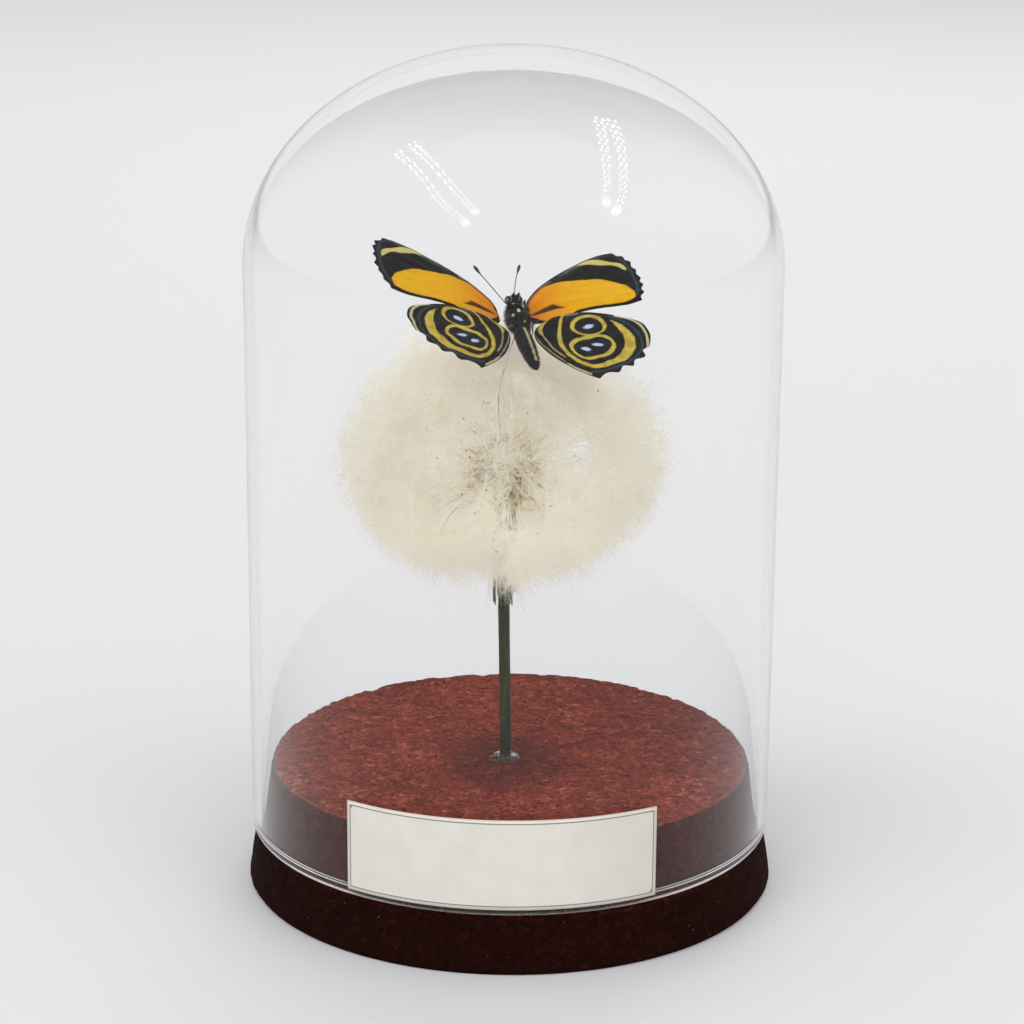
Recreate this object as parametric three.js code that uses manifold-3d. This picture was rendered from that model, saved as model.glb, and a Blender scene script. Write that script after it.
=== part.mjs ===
// A butterfly mounted on a dried seed head, under a glass dome on a cork base.
// Millimetres, +Z up. The origin is the centre of the cork's underside and -Y is the front.
import * as THREE from "three";
import { mergeVertices } from "three/addons/utils/BufferGeometryUtils.js";
import Module from "manifold-3d";

const wasm = await Module();
wasm.setup();

// Driving dimensions.
const GAP = 0.3; // clearance between pieces that touch
const ROUND = 48; // facets round the dome and the cork
const GLASS_RADIUS = 50;
const GLASS_WALL = 1.6;
const RIM_HEIGHT = 11.2; // underside of the dome's rim above the table
const SHOULDER_HEIGHT = 120; // where the straight wall ends and the rounded top starts
const TOTAL_HEIGHT = 160;
const CORK_RADIUS = 50.8;
const CORK_HEIGHT = 24.2;
const LABEL_HEIGHT = 17.1;
const LABEL_BOTTOM = 12.6;
const LABEL_HALF_ANGLE = 33.6; // degrees
const LABEL_TURN = -2; // degrees from the front
const LABEL_THICKNESS = 0.3;
const STEM_RADIUS = 1.15;
const STEM_SOCKET_DEPTH = 7;
const STEM_FOOT = { x: -1, y: -3.9 }; // the hole lies a little in front of the cork's centre
const SEED_BED = new THREE.Vector3(-1.5, 0, 80); // centre of the receptacle
const BRACT_COUNT = 8;
const PUFF_CENTRE = new THREE.Vector3(-2, 0, 84.3);
const PUFF_RADIUS = 30.9;
const PUFF_TOP = 27.4; // half-heights above and below the ball's centre
const PUFF_BOTTOM = 24.6;
const LOCK_COUNT = 72;
const LOCK_HEIGHT = 1.8;
const PIN_RADIUS = 0.25;
const THORAX = new THREE.Vector3(0.5, -16, 112.4); // midway between the wing roots
const BUTTERFLY_TURN = new THREE.Euler(0.423, 0.153, 0.235); // Y headwards, Z to the belly side
const BODY_SHIFT = 0.5; // the body lies a little to the right of the wings' middle
const WING_ROOT = 1.6; // sideways from the thorax's centre
const WING_THICKNESS = 0.3;
const WING_LAYER = 0.25; // forewings lie this far to the back, hindwings to the belly side
const ANTENNA_RADIUS = 0.12;
const ANTENNA_CLUB_RADIUS = 0.36;

// Turns of each wing: a negative dihedral lifts it to the belly side, pitch lifts its front edge.
const WING_TURNS = {
  right_forewing: { dihedral: -0.132, pitch: -0.011, sweep: 0.01 },
  left_forewing: { dihedral: -0.289, pitch: 0.025, sweep: 0.01 },
  right_hindwing: { dihedral: -0.129, pitch: 0.042, sweep: -0.007 },
  left_hindwing: { dihedral: -0.291, pitch: -0.022, sweep: -0.016 },
};

const materials = {
  glass: new THREE.MeshStandardMaterial({
    color: 0xf2f6f6,
    roughness: 0.03,
    metalness: 0,
    transparent: true,
    opacity: 0.25,
  }),
  cork: new THREE.MeshStandardMaterial({ color: 0x7a352a, roughness: 0.9, metalness: 0 }),
  label: new THREE.MeshStandardMaterial({ color: 0xd9d8cf, roughness: 0.7, metalness: 0 }),
  stem: new THREE.MeshStandardMaterial({ color: 0x33422c, roughness: 0.75, metalness: 0 }),
  glue: new THREE.MeshStandardMaterial({ color: 0xb8ab8e, roughness: 0.3, metalness: 0 }),
  receptacle: new THREE.MeshStandardMaterial({ color: 0xb9a878, roughness: 0.9, metalness: 0 }),
  bracts: new THREE.MeshStandardMaterial({ color: 0x6f705c, roughness: 0.85, metalness: 0 }),
  pappus: new THREE.MeshStandardMaterial({ color: 0xd8d0bd, roughness: 1, metalness: 0 }),
  pin: new THREE.MeshStandardMaterial({ color: 0x4a4a48, roughness: 0.35, metalness: 1 }),
  body: new THREE.MeshStandardMaterial({ color: 0x1d1712, roughness: 0.8, metalness: 0 }),
  forewing: new THREE.MeshStandardMaterial({ color: 0xe8a018, roughness: 0.7, metalness: 0 }),
  hindwing: new THREE.MeshStandardMaterial({ color: 0x5d5230, roughness: 0.7, metalness: 0 }),
};

// Geometry helpers.

// Joins shared vertices and drops the triangles that collapse at a lathe's axis.
function weld(geometry) {
  geometry.deleteAttribute("normal");
  geometry.deleteAttribute("uv");
  const welded = mergeVertices(geometry, 1e-4);
  const index = welded.index.array;
  const kept = [];
  for (let i = 0; i < index.length; i += 3) {
    const [a, b, c] = [index[i], index[i + 1], index[i + 2]];
    if (a !== b && b !== c && c !== a) kept.push(a, b, c);
  }
  welded.setIndex(kept);
  return welded;
}

function toManifold(geometry) {
  const welded = weld(geometry);
  const vertProperties = new Float32Array(welded.attributes.position.array);
  const triVerts = new Uint32Array(welded.index.array);
  return new wasm.Manifold(new wasm.Mesh({ numProp: 3, vertProperties, triVerts }));
}

function toGeometry(solid) {
  const { vertProperties, triVerts } = solid.getMesh();
  const geometry = new THREE.BufferGeometry();
  geometry.setAttribute("position", new THREE.BufferAttribute(vertProperties, 3));
  geometry.setIndex(new THREE.BufferAttribute(triVerts, 1));
  return geometry;
}

function fuse(geometries) {
  return geometries.map(toManifold).reduce((joined, solid) => joined.add(solid));
}

// Revolves [radius, height] pairs about +Z.
function revolve(profile, segments) {
  const points = profile.map(([radius, height]) => new THREE.Vector2(radius, height));
  return weld(new THREE.LatheGeometry(points, segments).rotateX(Math.PI / 2));
}

// A tube of constant radius along a smooth curve through the points.
function tube(points, radius, sides, steps) {
  const section = new THREE.Shape();
  for (let i = 0; i < sides; i++) {
    const angle = (2 * Math.PI * i) / sides;
    const [x, y] = [radius * Math.cos(angle), radius * Math.sin(angle)];
    if (i === 0) section.moveTo(x, y);
    else section.lineTo(x, y);
  }
  const extrudePath = new THREE.CatmullRomCurve3(points);
  return weld(new THREE.ExtrudeGeometry(section, { steps, bevelEnabled: false, extrudePath }));
}

function ellipsoid(centre, semiAxes, columns, rows) {
  return weld(new THREE.SphereGeometry(1, columns, rows).scale(...semiAxes).translate(...centre));
}

// A cheap repeatable wobble between -1 and 1.
function wobble(seed) {
  const value = Math.sin(seed * 127.1) * 43758.5453;
  return 2 * (value - Math.floor(value)) - 1;
}

function mesh(name, geometry, material) {
  const made = new THREE.Mesh(geometry, material);
  made.name = name;
  return made;
}

// Glass dome: a bell of even wall with a thick rounded rim.
function glassDome() {
  const curveSteps = 9;
  const shoulder = (radius, height) => {
    const points = [];
    for (let i = 0; i <= curveSteps; i++) {
      const angle = (i * Math.PI) / 2 / curveSteps;
      points.push([radius * Math.sin(angle), SHOULDER_HEIGHT + height * Math.cos(angle)]);
    }
    return points;
  };
  const innerRadius = GLASS_RADIUS - GLASS_WALL;
  const rise = TOTAL_HEIGHT - SHOULDER_HEIGHT;
  const outer = shoulder(GLASS_RADIUS, rise);
  const inner = shoulder(innerRadius, rise - GLASS_WALL).reverse();
  const rim = [];
  const rimRadius = GLASS_WALL / 2;
  for (let i = 0; i <= 4; i++) {
    const angle = (i * Math.PI) / 4;
    rim.push([
      GLASS_RADIUS - rimRadius + rimRadius * Math.cos(angle),
      RIM_HEIGHT + rimRadius - rimRadius * Math.sin(angle),
    ]);
  }
  return mesh("glass_dome", revolve([...outer, ...rim, ...inner].reverse(), ROUND), materials.glass);
}

// Cork base: a tapered plug, wider under the rim, with a crumbled upper edge and a hole for the stem.
function corkBase() {
  const plugRadius = GLASS_RADIUS - GLASS_WALL - GAP;
  const edgeDrop = 1.1;
  const profile = [
    [0, 0],
    [CORK_RADIUS - 0.6, 0],
    [CORK_RADIUS, 0.8],
    [CORK_RADIUS - 1.5, RIM_HEIGHT - 1],
    [plugRadius, RIM_HEIGHT - GAP],
    [plugRadius - 1.8, CORK_HEIGHT - edgeDrop],
    [plugRadius - 2.1, CORK_HEIGHT],
    [0, CORK_HEIGHT],
  ];
  const solid = revolve(profile, ROUND);
  const position = solid.attributes.position;
  for (let i = 0; i < position.count; i++) {
    const [x, y, z] = [position.getX(i), position.getY(i), position.getZ(i)];
    const radius = Math.hypot(x, y);
    if (z < CORK_HEIGHT - 2 || radius < 1) continue;
    const inset = 1 - (0.3 * (1 + wobble(i))) / radius;
    position.setXYZ(i, x * inset, y * inset, z);
  }
  const foot = stemFoot();
  const hole = new THREE.CylinderGeometry(STEM_RADIUS + GAP, STEM_RADIUS + GAP, 2 * STEM_SOCKET_DEPTH, 12)
    .rotateX(Math.PI / 2)
    .translate(foot.x, foot.y, CORK_HEIGHT);
  return mesh("cork_base", toGeometry(toManifold(solid).subtract(toManifold(hole))), materials.cork);
}

// Label: a paper strip bent round the front of the glass.
function label() {
  const middle = -Math.PI / 2 + THREE.MathUtils.degToRad(LABEL_TURN);
  const half = THREE.MathUtils.degToRad(LABEL_HALF_ANGLE);
  const inside = GLASS_RADIUS + GAP;
  const strip = new THREE.Shape();
  strip.absarc(0, 0, inside + LABEL_THICKNESS, middle - half, middle + half, false);
  strip.absarc(0, 0, inside, middle + half, middle - half, true);
  const geometry = new THREE.ExtrudeGeometry(strip, {
    depth: LABEL_HEIGHT,
    bevelEnabled: false,
    curveSegments: 14,
  });
  return mesh("label", geometry.translate(0, 0, LABEL_BOTTOM), materials.label);
}

// Stem: a slightly bowed stalk from the hole in the cork to the receptacle.
function stemFoot() {
  return new THREE.Vector3(STEM_FOOT.x, STEM_FOOT.y, CORK_HEIGHT - STEM_SOCKET_DEPTH + GAP);
}

function stem() {
  const top = SEED_BED.clone().add(new THREE.Vector3(0, 0, -RECEPTACLE.depth - GAP));
  const points = [
    stemFoot(),
    new THREE.Vector3(STEM_FOOT.x, STEM_FOOT.y, CORK_HEIGHT + 3),
    new THREE.Vector3(-1.2, -2.3, 40),
    new THREE.Vector3(-1.45, -0.2, 53),
    new THREE.Vector3(-1.5, 0, 64),
    top,
  ];
  return mesh("stem", tube(points, STEM_RADIUS, 10, 8), materials.stem);
}

// Glue bead: an uneven ring of dried glue on the cork round the stem.
function glueBead() {
  const inside = STEM_RADIUS + GAP;
  const profile = [
    [inside, GAP],
    [inside + 1.5, GAP],
    [inside + 1.3, GAP + 0.45],
    [inside + 0.6, GAP + 0.9],
    [inside, GAP + 1.2],
    [inside, GAP],
  ];
  const ring = revolve(profile, 12);
  const position = ring.attributes.position;
  for (let i = 0; i < position.count; i++) {
    const [x, y] = [position.getX(i), position.getY(i)];
    const radius = Math.hypot(x, y);
    if (radius < inside + 0.4) continue;
    const spread = 1 + 0.16 * wobble(i + 3);
    position.setX(i, x * spread);
    position.setY(i, y * spread);
  }
  const foot = stemFoot();
  return mesh("glue_bead", ring.translate(foot.x, foot.y, CORK_HEIGHT), materials.glue);
}

// Receptacle: the domed seed bed on top of the stem.
const RECEPTACLE = { radius: 4, depth: 3.2, dome: 3.4, neck: 1.6 };

function receptacle() {
  const { radius, depth, dome, neck } = RECEPTACLE;
  const profile = [
    [0, -depth],
    [neck, -depth],
    [neck + 1.3, -depth + 1.1],
    [radius, -0.8],
    [radius, 0.6],
    [0.78 * radius, 0.6 * dome],
    [0.42 * radius, 0.9 * dome],
    [0, dome],
  ];
  const geometry = revolve(profile, 12).translate(...SEED_BED.toArray());
  return mesh("receptacle", geometry, materials.receptacle);
}

// Bracts: narrow pointed strips on a collar, folded back down along the stem.
function bracts() {
  const collarTop = -RECEPTACLE.depth + 0.5;
  const inside = STEM_RADIUS + GAP;
  const collar = revolve(
    [
      [inside, collarTop - 4],
      [inside + 0.7, collarTop - 3.6],
      [inside + 0.9, collarTop - 1.6],
      [inside + 0.4, collarTop - 0.8],
      [inside, collarTop - 0.8],
      [inside, collarTop - 4],
    ],
    16,
  );
  const strips = [];
  for (let i = 0; i < BRACT_COUNT; i++) {
    const length = 20 + 2.4 * wobble(i + 11);
    const outline = new THREE.Shape([
      new THREE.Vector2(-0.7, 0),
      new THREE.Vector2(-0.85, -0.35 * length),
      new THREE.Vector2(-0.5, -0.75 * length),
      new THREE.Vector2(0, -length),
      new THREE.Vector2(0.5, -0.75 * length),
      new THREE.Vector2(0.85, -0.35 * length),
      new THREE.Vector2(0.7, 0),
    ]);
    const strip = new THREE.ExtrudeGeometry(outline, { depth: 0.4, bevelEnabled: false });
    const lean = 0.02 + 0.018 * wobble(i + 29);
    strip
      .rotateX(Math.PI / 2 - lean)
      .translate(0, -inside - 0.25, collarTop - 1.6)
      .rotateZ((2 * Math.PI * (i + 0.15 * wobble(i + 5))) / BRACT_COUNT);
    strips.push(strip);
  }
  const joined = toGeometry(fuse([collar, ...strips]));
  return mesh("bracts", joined.translate(...SEED_BED.toArray()), materials.bracts);
}

// Mounting pin: a bent wire from the seed bed to the back of the thorax.
function pinPath(butterfly) {
  const top = new THREE.Vector3(BODY_SHIFT, 0, -2.35).applyMatrix4(butterfly.matrix);
  return [
    top,
    new THREE.Vector3(-0.8, -12.5, 105.6),
    new THREE.Vector3(-2.6, -7.5, 96.4),
    SEED_BED.clone().add(new THREE.Vector3(-0.4, -0.6, RECEPTACLE.dome + GAP)),
  ];
}

// Seed head: an oblate ball of tufts, with a way in from below for the stem and from above for the pin.
function seedHead(butterfly) {
  const locks = [];
  const goldenAngle = Math.PI * (3 - Math.sqrt(5));
  for (let i = 0; i < LOCK_COUNT; i++) {
    const height = 1 - (2 * (i + 0.5)) / LOCK_COUNT;
    const turn = i * goldenAngle + 0.25 * wobble(i);
    const ring = Math.sqrt(1 - height * height);
    const axis = new THREE.Vector3(ring * Math.cos(turn), ring * Math.sin(turn), height);
    locks.push({ axis, reach: 1 + 0.35 * wobble(i + 7) });
  }
  const lockSpread = 0.26; // radians
  const ball = weld(new THREE.IcosahedronGeometry(1, 8));
  const position = ball.attributes.position;
  const direction = new THREE.Vector3();
  for (let i = 0; i < position.count; i++) {
    direction.fromBufferAttribute(position, i).normalize();
    let lift = 0;
    for (const { axis, reach } of locks) {
      const away = direction.angleTo(axis) / lockSpread;
      if (away < 1) lift = Math.max(lift, reach * (1 - away * away));
    }
    const halfHeight = direction.z > 0 ? PUFF_TOP : PUFF_BOTTOM;
    direction.multiply(new THREE.Vector3(PUFF_RADIUS, PUFF_RADIUS, halfHeight));
    direction.setLength(direction.length() + LOCK_HEIGHT * lift - 0.5);
    position.setXYZ(i, direction.x, direction.y, direction.z);
  }
  const room = RECEPTACLE.radius + GAP;
  const hollow = revolve(
    [
      [0, -PUFF_BOTTOM - 5],
      [room, -PUFF_BOTTOM - 5],
      [room, 0.8],
      [0.6 * room, RECEPTACLE.dome + 0.2],
      [0, RECEPTACLE.dome + 2 * GAP],
    ],
    12,
  );
  const pinHole = tube(pinPath(butterfly), PIN_RADIUS + GAP, 6, 10);
  const solid = toManifold(ball.translate(...PUFF_CENTRE.toArray()))
    .subtract(toManifold(hollow.translate(...SEED_BED.toArray())))
    .subtract(toManifold(pinHole));
  return mesh("seed_head", toGeometry(solid), materials.pappus);
}

// Butterfly: everything below is in its own frame, X to its right, Y headwards, Z to the belly side.

// Teeth of a wing's outer margin: the tips, with a notch between each two.
function scallops(tips, depth, centre) {
  const margin = [];
  for (let i = 0; i < tips.length; i++) {
    margin.push(tips[i]);
    if (i === tips.length - 1) break;
    const notch = tips[i].clone().add(tips[i + 1]).multiplyScalar(0.5);
    margin.push(notch.sub(notch.clone().sub(centre).setLength(depth)));
  }
  return margin;
}

// A right wing's outline, counter-clockwise seen from the belly side.
function wingOutline({ smooth, samples, tips, notchDepth, centre }) {
  const vectors = (pairs) => pairs.map(([x, y]) => new THREE.Vector2(x, y));
  const teeth = scallops(vectors(tips), notchDepth, centre);
  const curve = new THREE.SplineCurve([teeth.at(-1), ...vectors(smooth), teeth[0]]);
  return [...teeth, ...curve.getPoints(samples).slice(1, -1)];
}

const FOREWING = {
  centre: new THREE.Vector2(14, 7.5),
  notchDepth: 0.42,
  samples: 21,
  tips: [
    [22.7, 2.4],
    [23.7, 4.6],
    [24.2, 7],
    [24.4, 9.4],
    [24.2, 12],
    [23.8, 14.4],
    [22.9, 16.5],
    [21.1, 17.8],
  ],
  smooth: [
    [18.6, 17.6],
    [15.6, 16.4],
    [12.2, 14.6],
    [9, 12.7],
    [5.9, 10.4],
    [3.3, 8],
    [1.6, 5.4],
    [1.2, 2.6],
    [1.6, -0.2],
    [4.8, -0.6],
    [8, 0.3],
    [12, 1.1],
    [16, 1.3],
    [20, 1.6],
  ],
};

const HINDWING = {
  centre: new THREE.Vector2(11, -7),
  notchDepth: 0.8,
  samples: 22,
  tips: [
    [9.6, -17.5],
    [13.4, -16.2],
    [16.3, -15],
    [19, -12.9],
    [20.6, -10.2],
  ],
  smooth: [
    [21.4, -7.6],
    [21.3, -5.4],
    [20.4, -3.7],
    [18.8, -2.5],
    [16.7, -1.6],
    [14, -0.4],
    [11.5, 0.4],
    [8.6, 0.5],
    [5.8, 0.1],
    [3.6, -0.7],
    [1.4, -2.6],
    [0.8, -5],
    [1.8, -8.2],
    [3.3, -11],
    [5.1, -13.4],
    [7.2, -15.5],
  ],
};

// Height of the wing's mid-surface: a shallow camber from root to margin.
function camber(x, y) {
  return 0.35 * Math.sin((Math.PI * Math.hypot(x, y)) / 26) - 0.2;
}

// A thin plate with a sharp edge, made by spreading a sphere's rings out to the outline.
function wing(name, side, { form, layer }, material) {
  const points = wingOutline(form).map(({ x, y }) => new THREE.Vector2(side * x, y));
  if (side < 0) points.reverse();
  const centre = new THREE.Vector2(side * form.centre.x, form.centre.y);
  const reach = [0, 0.5, 0.96, 1];
  const edgeRow = reach.length - 1;
  const columns = points.length;
  const plate = new THREE.SphereGeometry(1, columns, 2 * edgeRow);
  const position = plate.attributes.position;
  for (let i = 0; i < position.count; i++) {
    const row = Math.floor(i / (columns + 1));
    const fromEdge = edgeRow - row;
    const outline = points[(i % (columns + 1)) % columns];
    const spot = centre.clone().lerp(outline, reach[edgeRow - Math.abs(fromEdge)]);
    const height = camber(spot.x, spot.y) + layer + (Math.sign(fromEdge) * WING_THICKNESS) / 2;
    position.setXYZ(i, spot.x, spot.y, height);
  }
  const made = mesh(name, weld(plate), material);
  const { dihedral, pitch, sweep } = WING_TURNS[name];
  made.position.x = side * WING_ROOT;
  made.rotation.set(pitch, side * dihedral, sweep, "YXZ");
  return made;
}

// Antenna: a thin shaft that ends in a spindle-shaped club.
function antenna(name, base, tip) {
  const length = base.distanceTo(tip);
  const profile = [
    [0, 0],
    [ANTENNA_RADIUS, 0.1],
    [ANTENNA_RADIUS, 0.4 * length],
    [ANTENNA_RADIUS, 0.72 * length],
    [0.75 * ANTENNA_CLUB_RADIUS, 0.84 * length],
    [ANTENNA_CLUB_RADIUS, 0.92 * length],
    [0.6 * ANTENNA_CLUB_RADIUS, 0.98 * length],
    [0, length],
  ];
  const made = mesh(name, revolve(profile, 6), materials.body);
  made.position.copy(base);
  const lift = tip.clone().sub(base).normalize();
  made.quaternion.setFromUnitVectors(new THREE.Vector3(0, 0, 1), lift);
  return made;
}

// Body: abdomen, thorax, head, eyes, palps and four folded legs, grown as one.
function butterflyBody() {
  const abdomen = revolve(
    [
      [0, 0],
      [1.1, 0.3],
      [1.5, 1.8],
      [1.55, 4],
      [1.45, 6.2],
      [1.3, 8.2],
      [1.05, 10],
      [0.7, 11.4],
      [0, 12.2],
    ],
    10,
  );
  abdomen.rotateX(Math.PI / 2 - 0.02).rotateZ(0.022).translate(BODY_SHIFT - 0.35, -2, 0.1);
  const thorax = ellipsoid([BODY_SHIFT, 0.8, 0], [2, 3.8, 1.85], 14, 8);
  const head = ellipsoid([BODY_SHIFT + 0.15, 5.2, 0.5], [1.35, 1.3, 1.3], 10, 7);
  const parts = [abdomen, thorax, head];
  for (const side of [-1, 1]) {
    parts.push(ellipsoid([BODY_SHIFT + 0.15 + side, 5.3, 0.8], [0.75, 0.95, 0.9], 8, 6));
    const palp = new THREE.ConeGeometry(0.42, 1.7, 6).translate(0, 0.85, 0).rotateX(1.1);
    parts.push(palp.translate(BODY_SHIFT + 0.5 + 0.45 * side, 5.5, 1));
    const legs = [
      { hip: [0.7, 1.8, 1.4], knee: [1.5, 3.2, 2.3], ankle: [0.9, 0.6, 2.5], toe: [0.6, -2, 2.3] },
      { hip: [0.7, -0.6, 1.5], knee: [2.9, -2.1, 2], ankle: [1.3, -3.6, 2.2], toe: [0.8, -6.2, 1.9] },
    ];
    for (const { hip, knee, ankle, toe } of legs) {
      const joints = [hip, knee, ankle, toe].map(
        ([x, y, z]) => new THREE.Vector3(BODY_SHIFT + side * x, y, z),
      );
      parts.push(tube(joints, 0.2, 5, 6));
    }
  }
  return mesh("butterfly_body", toGeometry(fuse(parts)), materials.body);
}

function butterflyGroup() {
  const group = new THREE.Group();
  group.position.copy(THORAX);
  group.rotation.copy(BUTTERFLY_TURN);
  group.updateMatrix();
  const fore = { form: FOREWING, layer: -WING_LAYER };
  const hind = { form: HINDWING, layer: WING_LAYER };
  group.add(
    butterflyBody(),
    wing("right_forewing", 1, fore, materials.forewing),
    wing("left_forewing", -1, fore, materials.forewing),
    wing("right_hindwing", 1, hind, materials.hindwing),
    wing("left_hindwing", -1, hind, materials.hindwing),
    antenna("left_antenna", new THREE.Vector3(-0.45, 6.15, -0.5), new THREE.Vector3(-4.2, 16.9, 0.2)),
    antenna("right_antenna", new THREE.Vector3(1, 6.75, -0.3), new THREE.Vector3(4.6, 16.8, 0.4)),
  );
  return group;
}

const butterfly = butterflyGroup();
const object = new THREE.Group();
object.add(
  corkBase(),
  glassDome(),
  label(),
  stem(),
  glueBead(),
  receptacle(),
  bracts(),
  seedHead(butterfly),
  mesh("mounting_pin", tube(pinPath(butterfly), PIN_RADIUS, 6, 10), materials.pin),
  butterfly,
);

export default object;
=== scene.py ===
import itertools
import math

import bpy
import numpy as np
from mathutils import Matrix, Vector


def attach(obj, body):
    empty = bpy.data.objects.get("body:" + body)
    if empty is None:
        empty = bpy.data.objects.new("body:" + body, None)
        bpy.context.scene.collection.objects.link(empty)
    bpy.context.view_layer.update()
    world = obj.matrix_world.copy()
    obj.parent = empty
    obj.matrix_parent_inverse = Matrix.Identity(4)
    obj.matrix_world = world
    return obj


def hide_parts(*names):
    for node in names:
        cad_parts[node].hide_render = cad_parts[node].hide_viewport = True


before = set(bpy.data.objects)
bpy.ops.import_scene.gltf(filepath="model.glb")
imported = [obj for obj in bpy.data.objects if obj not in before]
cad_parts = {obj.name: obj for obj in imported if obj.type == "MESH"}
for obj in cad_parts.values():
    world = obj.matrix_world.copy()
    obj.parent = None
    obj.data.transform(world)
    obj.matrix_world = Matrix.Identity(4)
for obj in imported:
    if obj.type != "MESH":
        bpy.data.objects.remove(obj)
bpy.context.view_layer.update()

MM = 0.001
rng = np.random.default_rng(11)

GLASS_RADIUS, GLASS_WALL = 50.0, 1.6
RIM_HEIGHT, SHOULDER_HEIGHT, TOTAL_HEIGHT = 11.2, 120.0, 160.0
# The two pale lines painted on the glass rim as highlights: height, half width and strength.
RIM_HIGHLIGHT_LINES = ((11.4, 0.34, 0.9), (13.0, 0.2, 0.6))
CORK_RADIUS, CORK_HEIGHT, PLUG_RADIUS = 50.8, 24.2, 48.1
LABEL_INNER, LABEL_OUTER, LABEL_LOW, LABEL_HIGH = 50.04, 50.34, 12.6, 29.7
LABEL_HALF_ANGLE, LABEL_TURN = math.radians(33.6), math.radians(-2)
STEM_FOOT = (-1.0, -3.9)
SEED_BED = np.array([-1.5, 0.0, 80.0])
PUFF_CENTRE = np.array([-2.0, 0.0, 84.3])
PUFF_RADIUS, PUFF_TOP, PUFF_BOTTOM, PUFF_PIECES = 32.1, 28.7, 25.7, 4
THORAX = (0.5, -16.0, 112.4)
BUTTERFLY_TURN = (0.423, 0.153, 0.235)
# Where a wing's root lies beside the middle, half the step from fore- to hindwing, and the thickness.
WING_ROOT, WING_LAYER, WING_THICKNESS = 1.6, 0.25, 0.11
# How far the body lies to the right of the wings' middle.
BODY_SHIFT = 0.5
EYES = [(BODY_SHIFT + 0.15 + side, 5.3, 0.8) for side in (-1, 1)]

# The camera that was fitted to the photo, in metres and radians.
CAMERA_AT, CAMERA_PITCH, CAMERA_ROLL = (0, -0.5168, 0.2191), 0.277, 0.007
CAMERA_LENS, CAMERA_SENSOR = 99.6, 36
FLOOR_TONE, WORLD_STRENGTH = (0.565, 0.565, 0.577, 1), 0.86
DOME_MIDDLE, FAR_FLOOR = (0, 0, 0.08), (0, 1.7, 0)
# Softboxes, in metres and watts: name, place, target, size and power.
SOFTBOXES = (
    ("key", (-0.8, -0.5, 1.3), DOME_MIDDLE, 0.8, 8.0),
    ("fill", (0.9, -0.7, 1.0), DOME_MIDDLE, 0.9, 5.5),
    ("back", (0.2, 1.1, 1.1), DOME_MIDDLE, 0.9, 4.8),
    ("low", (-0.1, -1.1, 0.3), DOME_MIDDLE, 0.8, 4.0),
    ("sweep", (0.0, 1.7, 1.6), FAR_FLOOR, 1.6, 9.0),
)
# Lamp strips, in metres: pairs to the left and right, which the dome's shoulder mirrors as dotted streaks.
LAMP_STRIPS = [
    [
        (-0.82, 0.28, 1.37), (-0.76, -0.19, 1.44), (-0.67, -0.65, 1.34), (-0.56, -0.87, 1.26),
        (-0.45, -1.03, 1.17),
    ],
    [
        (-0.71, 0.33, 1.43), (-0.65, -0.06, 1.5), (-0.54, -0.52, 1.46), (-0.44, -0.76, 1.38),
        (-0.36, -0.93, 1.29),
    ],
    [(0.49, 0.63, 1.41), (0.62, 0.26, 1.49), (0.74, -0.17, 1.45), (0.8, -0.41, 1.37), (0.83, -0.6, 1.27)],
    [(0.56, 0.65, 1.38), (0.71, 0.34, 1.42), (0.85, -0.06, 1.39), (0.92, -0.38, 1.29), (0.92, -0.65, 1.17)],
]
LAMP_GLOW, LAMP_HALF_WIDTH = 17.0, 46
LAMP_STEPS, LAMP_COLUMNS = 400, 19
# Dots along and rows across a strip; the last part of each strip is evenly lit.
LAMP_DOTS, LAMP_ROWS, LAMP_EVEN_FROM = 15, 2, 0.88


# ---- numbers

def grain(points, size, seed=0.0):
    """Smooth repeatable noise between -1 and 1 whose lumps are size millimetres across."""
    p = np.asarray(points, float) / size + seed * 17.31
    cell = np.floor(p).astype(int)
    f = p - cell
    f = f * f * (3 - 2 * f)
    total = np.zeros(len(p))
    for corner in itertools.product((0, 1), repeat=3):
        c = cell + np.array(corner)
        h = np.sin(c @ np.array([127.1, 311.7, 74.7])) * 43758.5453
        h = 2 * (h - np.floor(h)) - 1
        total += h * np.prod(np.where(corner, f, 1 - f), axis=1)
    return total


def spline(points, count, closed=False):
    """Points along a Catmull-Rom curve through the given points."""
    p = np.asarray(points, float)
    if closed:
        q = np.vstack([p[-1], p, p[0], p[1]])
        spans = len(p)
    else:
        q = np.vstack([2 * p[0] - p[1], p, 2 * p[-1] - p[-2]])
        spans = len(p) - 1
    t = np.linspace(0, spans, count, endpoint=not closed)
    i = np.minimum(t.astype(int), spans - 1)
    u = (t - i)[:, None]
    a, b, c, d = q[i], q[i + 1], q[i + 2], q[i + 3]
    square, cube = 2 * a - 5 * b + 4 * c - d, 3 * b - a - 3 * c + d
    return 0.5 * (2 * b + (c - a) * u + square * u**2 + cube * u**3)


def to_segments(points, path, closed):
    """Distance from each 2-D point to a path, and the crossings that tell inside from outside."""
    a = np.asarray(path, float)
    b = np.roll(a, -1, axis=0)
    if not closed:
        a, b = a[:-1], b[:-1]
    best = np.full(len(points), 1e9)
    inside = np.zeros(len(points), bool)
    for p, q in zip(a, b):
        e = q - p
        w = points - p
        t = np.clip((w @ e) / max(e @ e, 1e-12), 0, 1)
        best = np.minimum(best, np.hypot(*(w - t[:, None] * e).T))
        if closed and p[1] != q[1]:
            crosses = (p[1] > points[:, 1]) != (q[1] > points[:, 1])
            x = p[0] + (points[:, 1] - p[1]) * (q[0] - p[0]) / (q[1] - p[1])
            inside ^= crosses & (points[:, 0] < x)
    return best, inside


def area_distance(points, outline, smooth=True):
    """Signed distance to a closed outline, negative inside."""
    path = spline(outline, 6 * len(outline), closed=True) if smooth else outline
    far, inside = to_segments(points, path, True)
    return np.where(inside, -far, far)


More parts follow.
